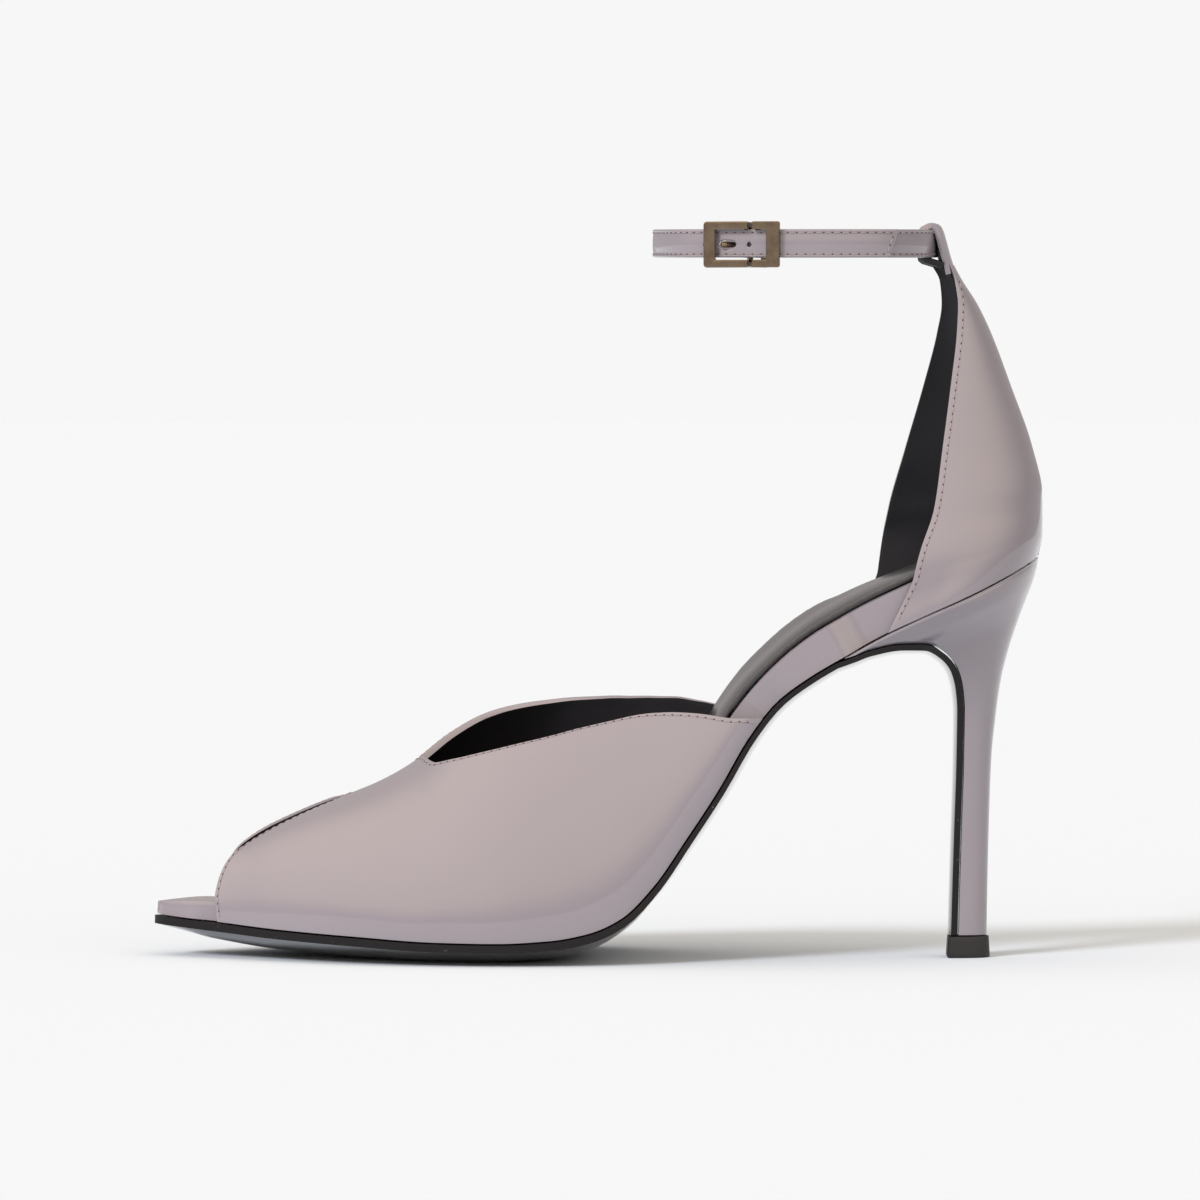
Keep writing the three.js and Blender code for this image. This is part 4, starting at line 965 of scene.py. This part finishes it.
def make_sock():
    """The padded sock: crowned, full in the waist, with a gathered edge under the pad."""
    rings = []
    across = spread(40, 1.6)
    toes = [mix(SOCK_FRONT, SOCK_FRONT + SOCK_NOSE, s) for s in (0.01, 0.08, 0.22, 0.45, 0.7, 1.0)]
    rest = [x for x in STATIONS + SEAT_STATIONS if x > SOCK_FRONT + SOCK_NOSE + 1]
    dense = []
    for a, b in zip(rest, rest[1:]):
        dense += [a, mix(a, b, 1 / 3), mix(a, b, 2 / 3)]
    for x in toes + dense + [rest[-1]] + back_stations(3.5):
        start = min((x - SOCK_FRONT) / SOCK_NOSE, 1)
        inset = sock_inset(x / LENGTH)
        half = (BALL_WIDTH * bed["half"](max(x, TOE_CAP) / LENGTH) - inset) * (1 - (1 - start) ** 2) ** 0.5
        wide = half_width(x, inset) if x > SEAT_CAP else half
        base = board_top(x) + GAP
        thick = SOCK * sock_thick(x / LENGTH)
        pucker = 0.10 * math.sin(x * 2.1) + 0.07 * math.sin(x * 3.7 + 1.0) + 0.05 * math.sin(x * 6.1)
        ring = []
        for s in across:
            crown = (1 - abs(s) ** 3.2) ** 0.6
            edge = smooth((abs(s) - 0.82) / 0.18) * (1 if wide > 6 else 0)
            low = wrap_rise(x, s)
            high = base + max(thick * (0.3 + 0.7 * crown), low + 1.1) + 0.5 * pucker * edge
            ring.append(bed_point(x, centre(x) + s * (wide + 0.6 * pucker * edge), high))
        for s in reversed(across):
            ring.append(bed_point(x, centre(x) + s * wide, base + wrap_rise(x, s)))
        rings.append(ring)
    bm = bmesh.new()
    closed_loft(bm, rings, 250.0, 110.0)
    piece = finish_piece(bm, "sock_pad", [SOCK_SKIN], ["sock"])
    return piece


def make_heel():
    rings = []
    steps = [0, 0.04, 0.09, 0.15, 0.22, 0.3, 0.38, 0.46, 0.54, 0.62, 0.7, 0.77]
    steps += [0.83, 0.88, 0.92, 0.95, 0.975, 0.99, 1]
    times = [LIP + (1 - LIP) * (i / 110) for i in range(111)]
    for t in [LIP - 1] + times:
        a = heel_point(t, 0, 1)
        b = heel_point(t, 0, -1)
        front = []
        for k in range(1, 10):
            p = a.lerp(b, k / 10)
            if t < LIP:
                p.z = bed_height(p.x, p.y)
            front.append(p)
        lateral = [heel_point(t, q, -1) for q in steps]
        medial = [heel_point(t, q, 1) for q in steps[:-1]]
        rings.append(front + lateral + medial[::-1])
    seat = []
    for p in rings[0]:
        q = Vector((mix(p.x, LIP_X + 12, 0.9), mix(p.y, centre(LIP_X + 12), 0.9), 0))
        q.z = bed_height(q.x, q.y)
        seat.append(q)
    between = []
    for share in (0.3, 0.6):
        row = []
        for p, q in zip(seat, rings[0]):
            m = p.lerp(q, share)
            m.z = bed_height(m.x, m.y)
            row.append(m)
        between.append(row)
    bm = bmesh.new()
    closed_loft(bm, [seat] + between + rings, 120.0, 90.0)
    piece = finish_piece(bm, "heel_cover", [LEATHER], ["heel"])
    return rounded(piece, 0.25, 60)


def make_top_lift():
    tip_x = LENGTH * HEEL[-1]["along"]
    front = tip_x - WAIST_EDGE * SOLE_EDGE - 0.55
    steps = [0, 0.08, 0.18, 0.3, 0.42, 0.54, 0.65, 0.75, 0.83, 0.9, 0.95, 0.985, 1]

    def ring(z, grow):
        depth = HEEL_TIP_DEPTH + grow * 2
        half = HEEL_TIP_WIDTH / 2 + grow
        rows = []
        for sign in (-1, 1):
            row = []
            for q in steps:
                round_off = max(1 - q ** 3, 0) ** 0.46
                row.append(Vector((front - grow + depth * q, AXIS + sign * half * round_off, z)))
            rows.append(row)
        return rows[0] + rows[1][:-1][::-1]

    levels = [(0, -0.05), (0.12, 0.18), (0.35, 0.28), (1.2, 0.24)]
    levels += [(2.6, 0.15), (4.2, 0.06), (5.1, 0), (TOP_LIFT, -0.15)]
    bm = bmesh.new()
    closed_loft(bm, [ring(z, grow) for z, grow in levels], 8.0, 36.0)
    return finish_piece(bm, "top_lift_rubber", [RUBBER], ["top_lift"])


def make_strap():
    """The strap is a folded band: round along both edges and slightly full between its seams."""
    half = STRAP_THICK / 2
    across = (-0.93, -0.86, -0.78, -0.70, -0.6, -0.35, 0, 0.35, 0.6, 0.70, 0.78, 0.86, 0.93)
    outline = [(z, half - (0.10 if 0.55 < abs(z) < 0.8 else 0.0)) for z in across]
    corner = [(0.975, half - 0.16), (1.0, half - 0.5), (1.0, -half + 0.5), (0.975, -half + 0.16)]
    back = [(0.93, -half), (0.4, -half), (-0.4, -half), (-0.93, -half)]
    other = [(-0.975, -half + 0.16), (-1.0, -half + 0.5), (-1.0, half - 0.5), (-0.975, half - 0.16)]
    profile = outline + corner + back + other
    total = STRAP_LONG + FREE_LONG
    p, out, d = strap_frame(0.0)
    middle = (STRAP_TOP + STRAP_LOW) / 2
    makers = []
    for far in (6, 4.5, 3, 1.5):
        def flap(off, z, far=far):
            deep = -2 * TURN_RADIUS - off
            return Vector((p.x + d.x * far + out.x * deep, p.y + d.y * far + out.y * deep, z))
        makers.append(flap)
    for i in range(13):
        makers.append(lambda off, z, t=i / 12: hook_point(t, off, z))
    steps = 420
    for i in range(1, steps + 1):
        s = total * i / steps

        def along(off, z, s=s):
            share = (z - STRAP_LOW) / STRAP_WIDTH
            end = total - mix(3.75, 1.1, share)
            at = s if s < total - 22 else mix(total - 22, end, (s - total + 22) / 22)
            return strap_point(at, strap_offset(s) + off, z)

        makers.append(along)
    rings = [[make(off, middle + z * STRAP_WIDTH / 2) for z, off in profile] for make in makers]
    bm = bmesh.new()
    closed_loft(bm, rings, total, 2 * STRAP_WIDTH)
    piece = finish_piece(bm, "ankle_strap_leather", [LEATHER, LINING], ["ankle_strap"])
    punch_holes(piece)
    return piece


def punch_holes(piece):
    """Punches the strap's holes, and the slot for the prong, with round punches."""
    bm = bmesh.new()
    for i in range(4):
        s = STRAP_LONG + HOLE_START + (i - 1) * HOLE_PITCH
        wide = 2.2 if i == 1 else HOLE
        here = strap_point(s, LAYER + 0.25, BUCKLE_MIDDLE)
        _, out, d = strap_frame(s - STRAP_LONG if s > STRAP_LONG else s)
        long = 2.0 if i == 1 else 1.0
        bmesh.ops.create_cone(bm, cap_ends=True, segments=24, radius1=wide / 2, radius2=wide / 2, depth=2.6,
                              matrix=lay(level(d) * long, (0, 0, 1), level(out), here))
    bmesh.ops.recalc_face_normals(bm, faces=bm.faces)
    mesh = to_mesh(bm, "punch")
    punch = put("punch", mesh)
    cut = piece.modifiers.new("holes", "BOOLEAN")
    cut.operation = "DIFFERENCE"
    cut.solver = "EXACT"
    cut.object = punch
    bpy.context.view_layer.update()
    seen = piece.evaluated_get(bpy.context.evaluated_depsgraph_get())
    done = bpy.data.meshes.new_from_object(seen)
    piece.modifiers.clear()
    old = piece.data
    piece.data = done
    bpy.data.meshes.remove(old)
    bpy.data.objects.remove(punch)
    bpy.data.meshes.remove(mesh)


# Buckle, built flat and then set at the bar
PLATE = LAYER + STRAP_THICK / 2 + GAP + 0.2
BAR_DEEP = -TURN_RADIUS


def buckle_place():
    p, out, d = strap_frame(0.0)
    return lay(level(d), (0, 0, 1), level(out), (p.x, p.y, BUCKLE_MIDDLE))


def roll(bm, verts, width, segments):
    """Rolls the edges at these corners."""
    edges = list({edge for v in verts for edge in v.link_edges})
    bmesh.ops.bevel(bm, geom=edges, offset=width, offset_type="OFFSET", segments=segments, profile=0.5,
                    affect="EDGES", clamp_overlap=True, material=-1)


def plate(bm, outline, low, thick, bevel):
    """A flat outline made a plate with rolled edges."""
    corners = [bm.verts.new((x, y, low)) for x, y in outline]
    face = bm.faces.new(corners)
    made = bmesh.ops.extrude_face_region(bm, geom=[face])
    raised = [v for v in made["geom"] if isinstance(v, bmesh.types.BMVert)]
    bmesh.ops.translate(bm, verts=raised, vec=(0, 0, thick))
    roll(bm, corners + raised, bevel, 4)


def block(bm, x0, x1, y0, y1, z0, z1, bevel):
    middle = Matrix.Translation(((x0 + x1) / 2, (y0 + y1) / 2, (z0 + z1) / 2))
    place = middle @ Matrix.Diagonal((x1 - x0, y1 - y0, z1 - z0, 1))
    roll(bm, bmesh.ops.create_cube(bm, size=1.0, matrix=place)["verts"], bevel, 2)


def bar(bm, radius, y0, y1, x, z):
    place = Matrix.Translation((x, (y0 + y1) / 2, z)) @ Matrix.Rotation(math.pi / 2, 4, "X")
    bmesh.ops.create_cone(bm, cap_ends=True, segments=32, radius1=radius, radius2=radius, depth=y1 - y0,
                          matrix=place)


def finish_buckle(bm, name, node):
    bmesh.ops.transform(bm, matrix=buckle_place(), verts=bm.verts)
    piece = finish_piece(bm, name, [GOLD], [node])
    sharp = piece.modifiers.new("flat faces", "WEIGHTED_NORMAL")
    sharp.keep_sharp = True
    return piece


def make_buckle():
    half = BUCKLE_HEIGHT / 2
    left = BAR_RADIUS - BUCKLE_LENGTH
    inner = half - BUCKLE_ARM - 0.4
    bm = bmesh.new()
    plate(bm, [
        (left + 0.5, -half), (BAR_RADIUS, -half), (BAR_RADIUS, -inner), (left + BUCKLE_BAR, -inner),
        (left + BUCKLE_BAR, inner), (BAR_RADIUS, inner), (BAR_RADIUS, half), (left + 0.5, half),
        (left, half - 0.5), (left, -half + 0.5),
    ], PLATE, BUCKLE_PLATE, 0.34)
    for sign in (-1, 1):
        y = sign * (half - BUCKLE_ARM / 2)
        block(bm, -BAR_RADIUS, BAR_RADIUS, y - 0.68, y + 0.68, BAR_DEEP - BAR_RADIUS, PLATE + 0.4, 0.2)
    bar(bm, BAR_RADIUS, -half + 0.5, half - 0.5, 0, BAR_DEEP)
    finish_buckle(bm, "buckle_frame_metal", "buckle_frame")

    first = 1.9
    right = first + KEEPER_LENGTH
    deep = -2 * TURN_RADIUS - STRAP_THICK / 2 - GAP - 0.2
    bm = bmesh.new()
    plate(bm, [
        (first, -half), (right - 0.3, -half), (right, -half + 0.3), (right, half - 0.3), (right - 0.3, half),
        (first, half), (first, inner), (right - 3.3, inner), (right - 3.3, -inner), (first, -inner),
    ], PLATE, BUCKLE_PLATE, 0.34)
    for sign in (-1, 1):
        y = sign * (half - BUCKLE_ARM / 2)
        block(bm, first + 0.02, first + 1.48, y - 0.68, y + 0.68, deep - 1.2, PLATE + 0.4, 0.2)
    block(bm, first, first + 1.5, -half + 0.2, half - 0.2, deep - 1.2, deep, 0.25)
    finish_buckle(bm, "buckle_keeper_metal", "buckle_keeper")

    path = [
        Vector((-0.6, 0, BAR_DEEP + 0.1)),
        Vector((-1.2, 0, BAR_DEEP + 0.6)),
        Vector((-3, 0, LAYER - 1.7)),
        Vector((-4.5, 0, LAYER)),
        Vector((-5.5, 0, LAYER + 1.3)),
        Vector((left + BUCKLE_BAR + 0.4, 0, LAYER + STRAP_THICK / 2 + PRONG_RADIUS + 0.3)),
    ]
    rings = []
    count = 40
    for i in range(count + 1):
        at = i / count * (len(path) - 2)
        k = min(int(at), len(path) - 3)
        t = at - k
        a, b, c = path[k], path[k + 1], path[k + 2]
        p = (a + b) / 2 * (1 - t) ** 2 + b * 2 * t * (1 - t) + (b + c) / 2 * t ** 2
        d = ((b - a) * (1 - t) + (c - b) * t).normalized()
        side = Vector((0, 1, 0))
        up = side.cross(d)
        slim = 1.0
        left_over = 1 - i / count
        if left_over < 0.08:
            slim = max(1 - (1 - left_over / 0.08) ** 2, 0.02) ** 0.5
        ring = []
        for j in range(20):
            angle = 2 * math.pi * j / 20
            away = side * math.cos(angle) + up * math.sin(angle)
            ring.append((p + away * PRONG_RADIUS * slim) / MM)
        rings.append(ring)
    bm = bmesh.new()
    closed_loft(bm, rings, 10.0, 5.0)
    bar(bm, BAR_RADIUS + 0.95, -PRONG_RADIUS, PRONG_RADIUS, 0, BAR_DEEP)
    finish_buckle(bm, "buckle_prong_metal", "buckle_prong")


# Stitches
def resample(points, pitch, margin=1.0):
    """Walks along a line of (place, normal) pairs and gives one pair each pitch."""
    reach = [0.0]
    for a, b in zip(points, points[1:]):
        reach.append(reach[-1] + (b[0] - a[0]).length)
    out = []
    count = int((reach[-1] - 2 * margin) / pitch)
    k = 0
    for i in range(count + 1):
        s = margin + i * pitch
        while k < len(reach) - 2 and reach[k + 1] < s:
            k += 1
        t = (s - reach[k]) / max(reach[k + 1] - reach[k], 1e-6)
        a, b = points[k], points[k + 1]
        out.append((a[0].lerp(b[0], t), a[1].lerp(b[1], t).normalized(), (b[0] - a[0]).normalized()))
    return out


def bead(material):
    """One small round bead, to be stretched and turned into its place."""
    bm = bmesh.new()
    bmesh.ops.create_uvsphere(bm, u_segments=8, v_segments=6, radius=1.0)
    for face in bm.faces:
        face.material_index = material
    return to_mesh(bm, "bead")


def stitches(name, lines, pitch=2.2, thick=0.42):
    """A seam: one bead of thread each pitch, and between beads a small dark bead of painted shade for the
    needle hole.
    """
    bm = bmesh.new()
    beads = [bead(0), bead(1)]
    # the second size is the flat dark bead of painted shade at each needle hole
    sizes = [(pitch * 0.36, thick * 0.5, 0.16), (0.24, thick * 0.62, 0.07)]
    for line in lines:
        for place, normal, way in resample(line, pitch):
            side = normal.cross(way).normalized()
            for kind, size in enumerate(sizes):
                middle = place + normal * 0.05 + (way * pitch * 0.5 if kind else Vector())
                one = beads[kind].copy()
                one.transform(lay(way * size[0], side * size[1], normal * size[2], middle))
                bm.from_mesh(one)
                bpy.data.meshes.remove(one)
    for mesh in beads:
        bpy.data.meshes.remove(mesh)
    return finish_piece(bm, name, [THREAD, HOLE_SHADE])


def sheet_normal(place, u, v, away):
    """The outward normal of a sheet given by shares."""
    e = 0.004
    du = place(min(u + e, 1), v) - place(max(u - e, 0), v)
    dv = place(u, min(v + e, 1)) - place(u, max(v - e, 0))
    n = du.cross(dv).normalized()
    return n if n.dot(away) >= 0 else -n


def edge_share(place, distance, forward=True):
    """The share along a line at which it is this far from its start."""
    start = place(0.0 if forward else 1.0)
    share = halved(0.5, 24, lambda t: (place(t if forward else 1 - t) - start).length < distance)
    return share if forward else 1 - share


def make_seams():
    throat_line = []
    peep_line = []
    for i in range(241):
        v = 0.012 + 0.976 * i / 240
        for line, forward, inside in ((throat_line, False, 1.0), (peep_line, True, 0.9)):
            u = edge_share(lambda t: vamp_sheet(t, v), inside, forward)
            p = vamp_sheet(u, v)
            away = Vector((0, p.y - centre(p.x), 12))
            line.append((p, sheet_normal(vamp_sheet, u, v, away)))
    stitches("throat_seam", [throat_line], pitch=2.1, thick=0.34)
    stitches("peep_seam", [peep_line], pitch=1.9, thick=0.32)
    sides = []
    for front in (True, False):
        line = []
        for i in range(121):
            height = 0.03 + 0.93 * i / 120
            phi = edge_share(lambda t: counter_point(t, height), 1.3, front)
            p = counter_point(phi, height)
            away = Vector((p.x - LENGTH * 0.4, p.y - AXIS, 0))
            line.append((p, sheet_normal(counter_point, phi, height, away)))
        sides.append(line)
    stitches("counter_seam", sides, pitch=2.0, thick=0.34)
    rows = []
    for z in (STRAP_LOW + 0.85, STRAP_TOP - 0.85):
        line = []
        total = STRAP_LONG + FREE_LONG
        stop = total - mix(5.4, 2.8, (z - STRAP_LOW) / STRAP_WIDTH)
        for i in range(401):
            s = mix(11.0, stop, i / 400)
            _, out, _ = strap_frame(s - STRAP_LONG if s > STRAP_LONG else s)
            p = strap_point(s, strap_offset(s) + STRAP_THICK / 2 - 0.08, z)
            line.append((p, level(out)))
        rows.append(line)
    line = []
    for i in range(21):
        share = mix(0.16, 0.84, i / 20)
        s = STRAP_LONG + FREE_LONG - mix(3.75, 1.1, share) - 1.0
        _, out, _ = strap_frame(s - STRAP_LONG)
        p = strap_point(s, LAYER + STRAP_THICK / 2 - 0.02, STRAP_LOW + share * STRAP_WIDTH)
        line.append((p, level(out)))
    rows.append(line)
    stitches("strap_seam", rows, pitch=2.2, thick=0.32)


make_vamp()
make_counter()
make_outsole()
make_board()
make_sock()
make_heel()
make_top_lift()
make_strap()
make_buckle()
make_seams()


# Studio: pale floor, soft light from the upper left, camera at the photograph's angle
FLOOR_TONE = (0.600, 0.664, 0.771, 1.0)
PANEL_LIGHT = (1.06, 0.89, 0.62)
PANEL_AIM = Vector((-0.12, -0.76, 0.60)).normalized()
DOME_LIGHT = (0.44, 0.41, 0.40)
BACKDROP = tone("f7f7f7")
KEY_ENERGY = 2.5
KEY_ANGLE = 16
KEY_AIM = Vector((0.66, 0.72, -0.60))


def make_floor():
    bm = bmesh.new()
    bmesh.ops.create_grid(bm, x_segments=2, y_segments=2, size=40.0)
    mesh = to_mesh(bm, "studio_floor")
    material, _, _ = new_material("studio_paper", {
        "Base Color": FLOOR_TONE, "Roughness": 1.0, "Specular IOR Level": 0.0,
    })
    mesh.materials.append(material)
    put("studio_floor", mesh)


def fade(tree, value, low, high):
    """Fades in softly from low to high."""
    settings = {"interpolation_type": "SMOOTHSTEP", "From Min": low, "From Max": high}
    return add(tree, "ShaderNodeMapRange", settings, Value=value)


def make_world():
    """A warm panel in front and a dim dome all round. The camera itself sees the plain backdrop."""
    world = bpy.data.worlds.new("studio_light")
    bpy.context.scene.world = world
    world.use_nodes = True
    tree = world.node_tree
    tree.nodes.clear()
    place = add(tree, "ShaderNodeTexCoord")
    front = add(tree, "ShaderNodeVectorMath", {"operation": "DOT_PRODUCT"})
    tree.links.new(place.outputs["Generated"], front.inputs[0])
    front.inputs[1].default_value = PANEL_AIM
    soft = fade(tree, front.outputs["Value"], -0.20, 0.65)
    parts = add(tree, "ShaderNodeSeparateXYZ", Vector=place.outputs["Generated"])
    above = fade(tree, parts.outputs["Z"], 0.0, 0.22)
    panel = add(tree, "ShaderNodeMath", {"operation": "MULTIPLY"})
    tree.links.new(soft.outputs["Result"], panel.inputs[0])
    tree.links.new(above.outputs["Result"], panel.inputs[1])
    glow = add(tree, "ShaderNodeVectorMath", {"operation": "SCALE"})
    glow.inputs[0].default_value = PANEL_LIGHT
    tree.links.new(panel.outputs["Value"], glow.inputs["Scale"])
    base = add(tree, "ShaderNodeVectorMath", {"operation": "ADD"})
    tree.links.new(glow.outputs["Vector"], base.inputs[0])
    base.inputs[1].default_value = DOME_LIGHT
    light = add(tree, "ShaderNodeBackground", Color=base.outputs["Vector"])
    plain = add(tree, "ShaderNodeBackground", {"Color": BACKDROP})
    ray = add(tree, "ShaderNodeLightPath")
    pick = add(tree, "ShaderNodeMixShader")
    tree.links.new(ray.outputs["Is Camera Ray"], pick.inputs["Fac"])
    tree.links.new(light.outputs["Background"], pick.inputs[1])
    tree.links.new(plain.outputs["Background"], pick.inputs[2])
    out = add(tree, "ShaderNodeOutputWorld")
    tree.links.new(pick.outputs["Shader"], out.inputs["Surface"])


def make_key():
    """A broad key light from the front left, for the floor's shadow. The lacquer doesn't show it."""
    data = bpy.data.lights.new("key", "SUN")
    data.energy = KEY_ENERGY
    data.angle = math.radians(KEY_ANGLE)
    data.color = (1.0, 0.98, 0.97)
    key = put("key", data)
    key.rotation_euler = KEY_AIM.to_track_quat("-Z", "Y").to_euler()
    key.visible_glossy = False


# The camera in millimetres, and its picture in pixels of the photograph
CAMERA_HEIGHT = 140.0
CAMERA_AWAY = 1824.0
CAMERA_ASIDE = 0.6
PICTURE = 1200
FOCAL = 7296.0
FLOOR_LINE = 957.5
HORIZON = FLOOR_LINE - FOCAL * CAMERA_HEIGHT / (CAMERA_AWAY + AXIS)


def make_camera():
    data = bpy.data.cameras.new("camera")
    data.sensor_width = 36.0
    data.lens = FOCAL / PICTURE * data.sensor_width
    data.clip_end = 200.0
    camera = put("camera", data)
    camera.location = (CAMERA_ASIDE * MM, -CAMERA_AWAY * MM, CAMERA_HEIGHT * MM)
    tilt = math.atan((PICTURE / 2 - HORIZON) / FOCAL)
    camera.rotation_euler = (math.pi / 2 - tilt, 0, 0)
    bpy.context.scene.camera = camera


make_floor()
make_world()
make_key()
make_camera()
bpy.context.scene.view_settings.view_transform = "Standard"
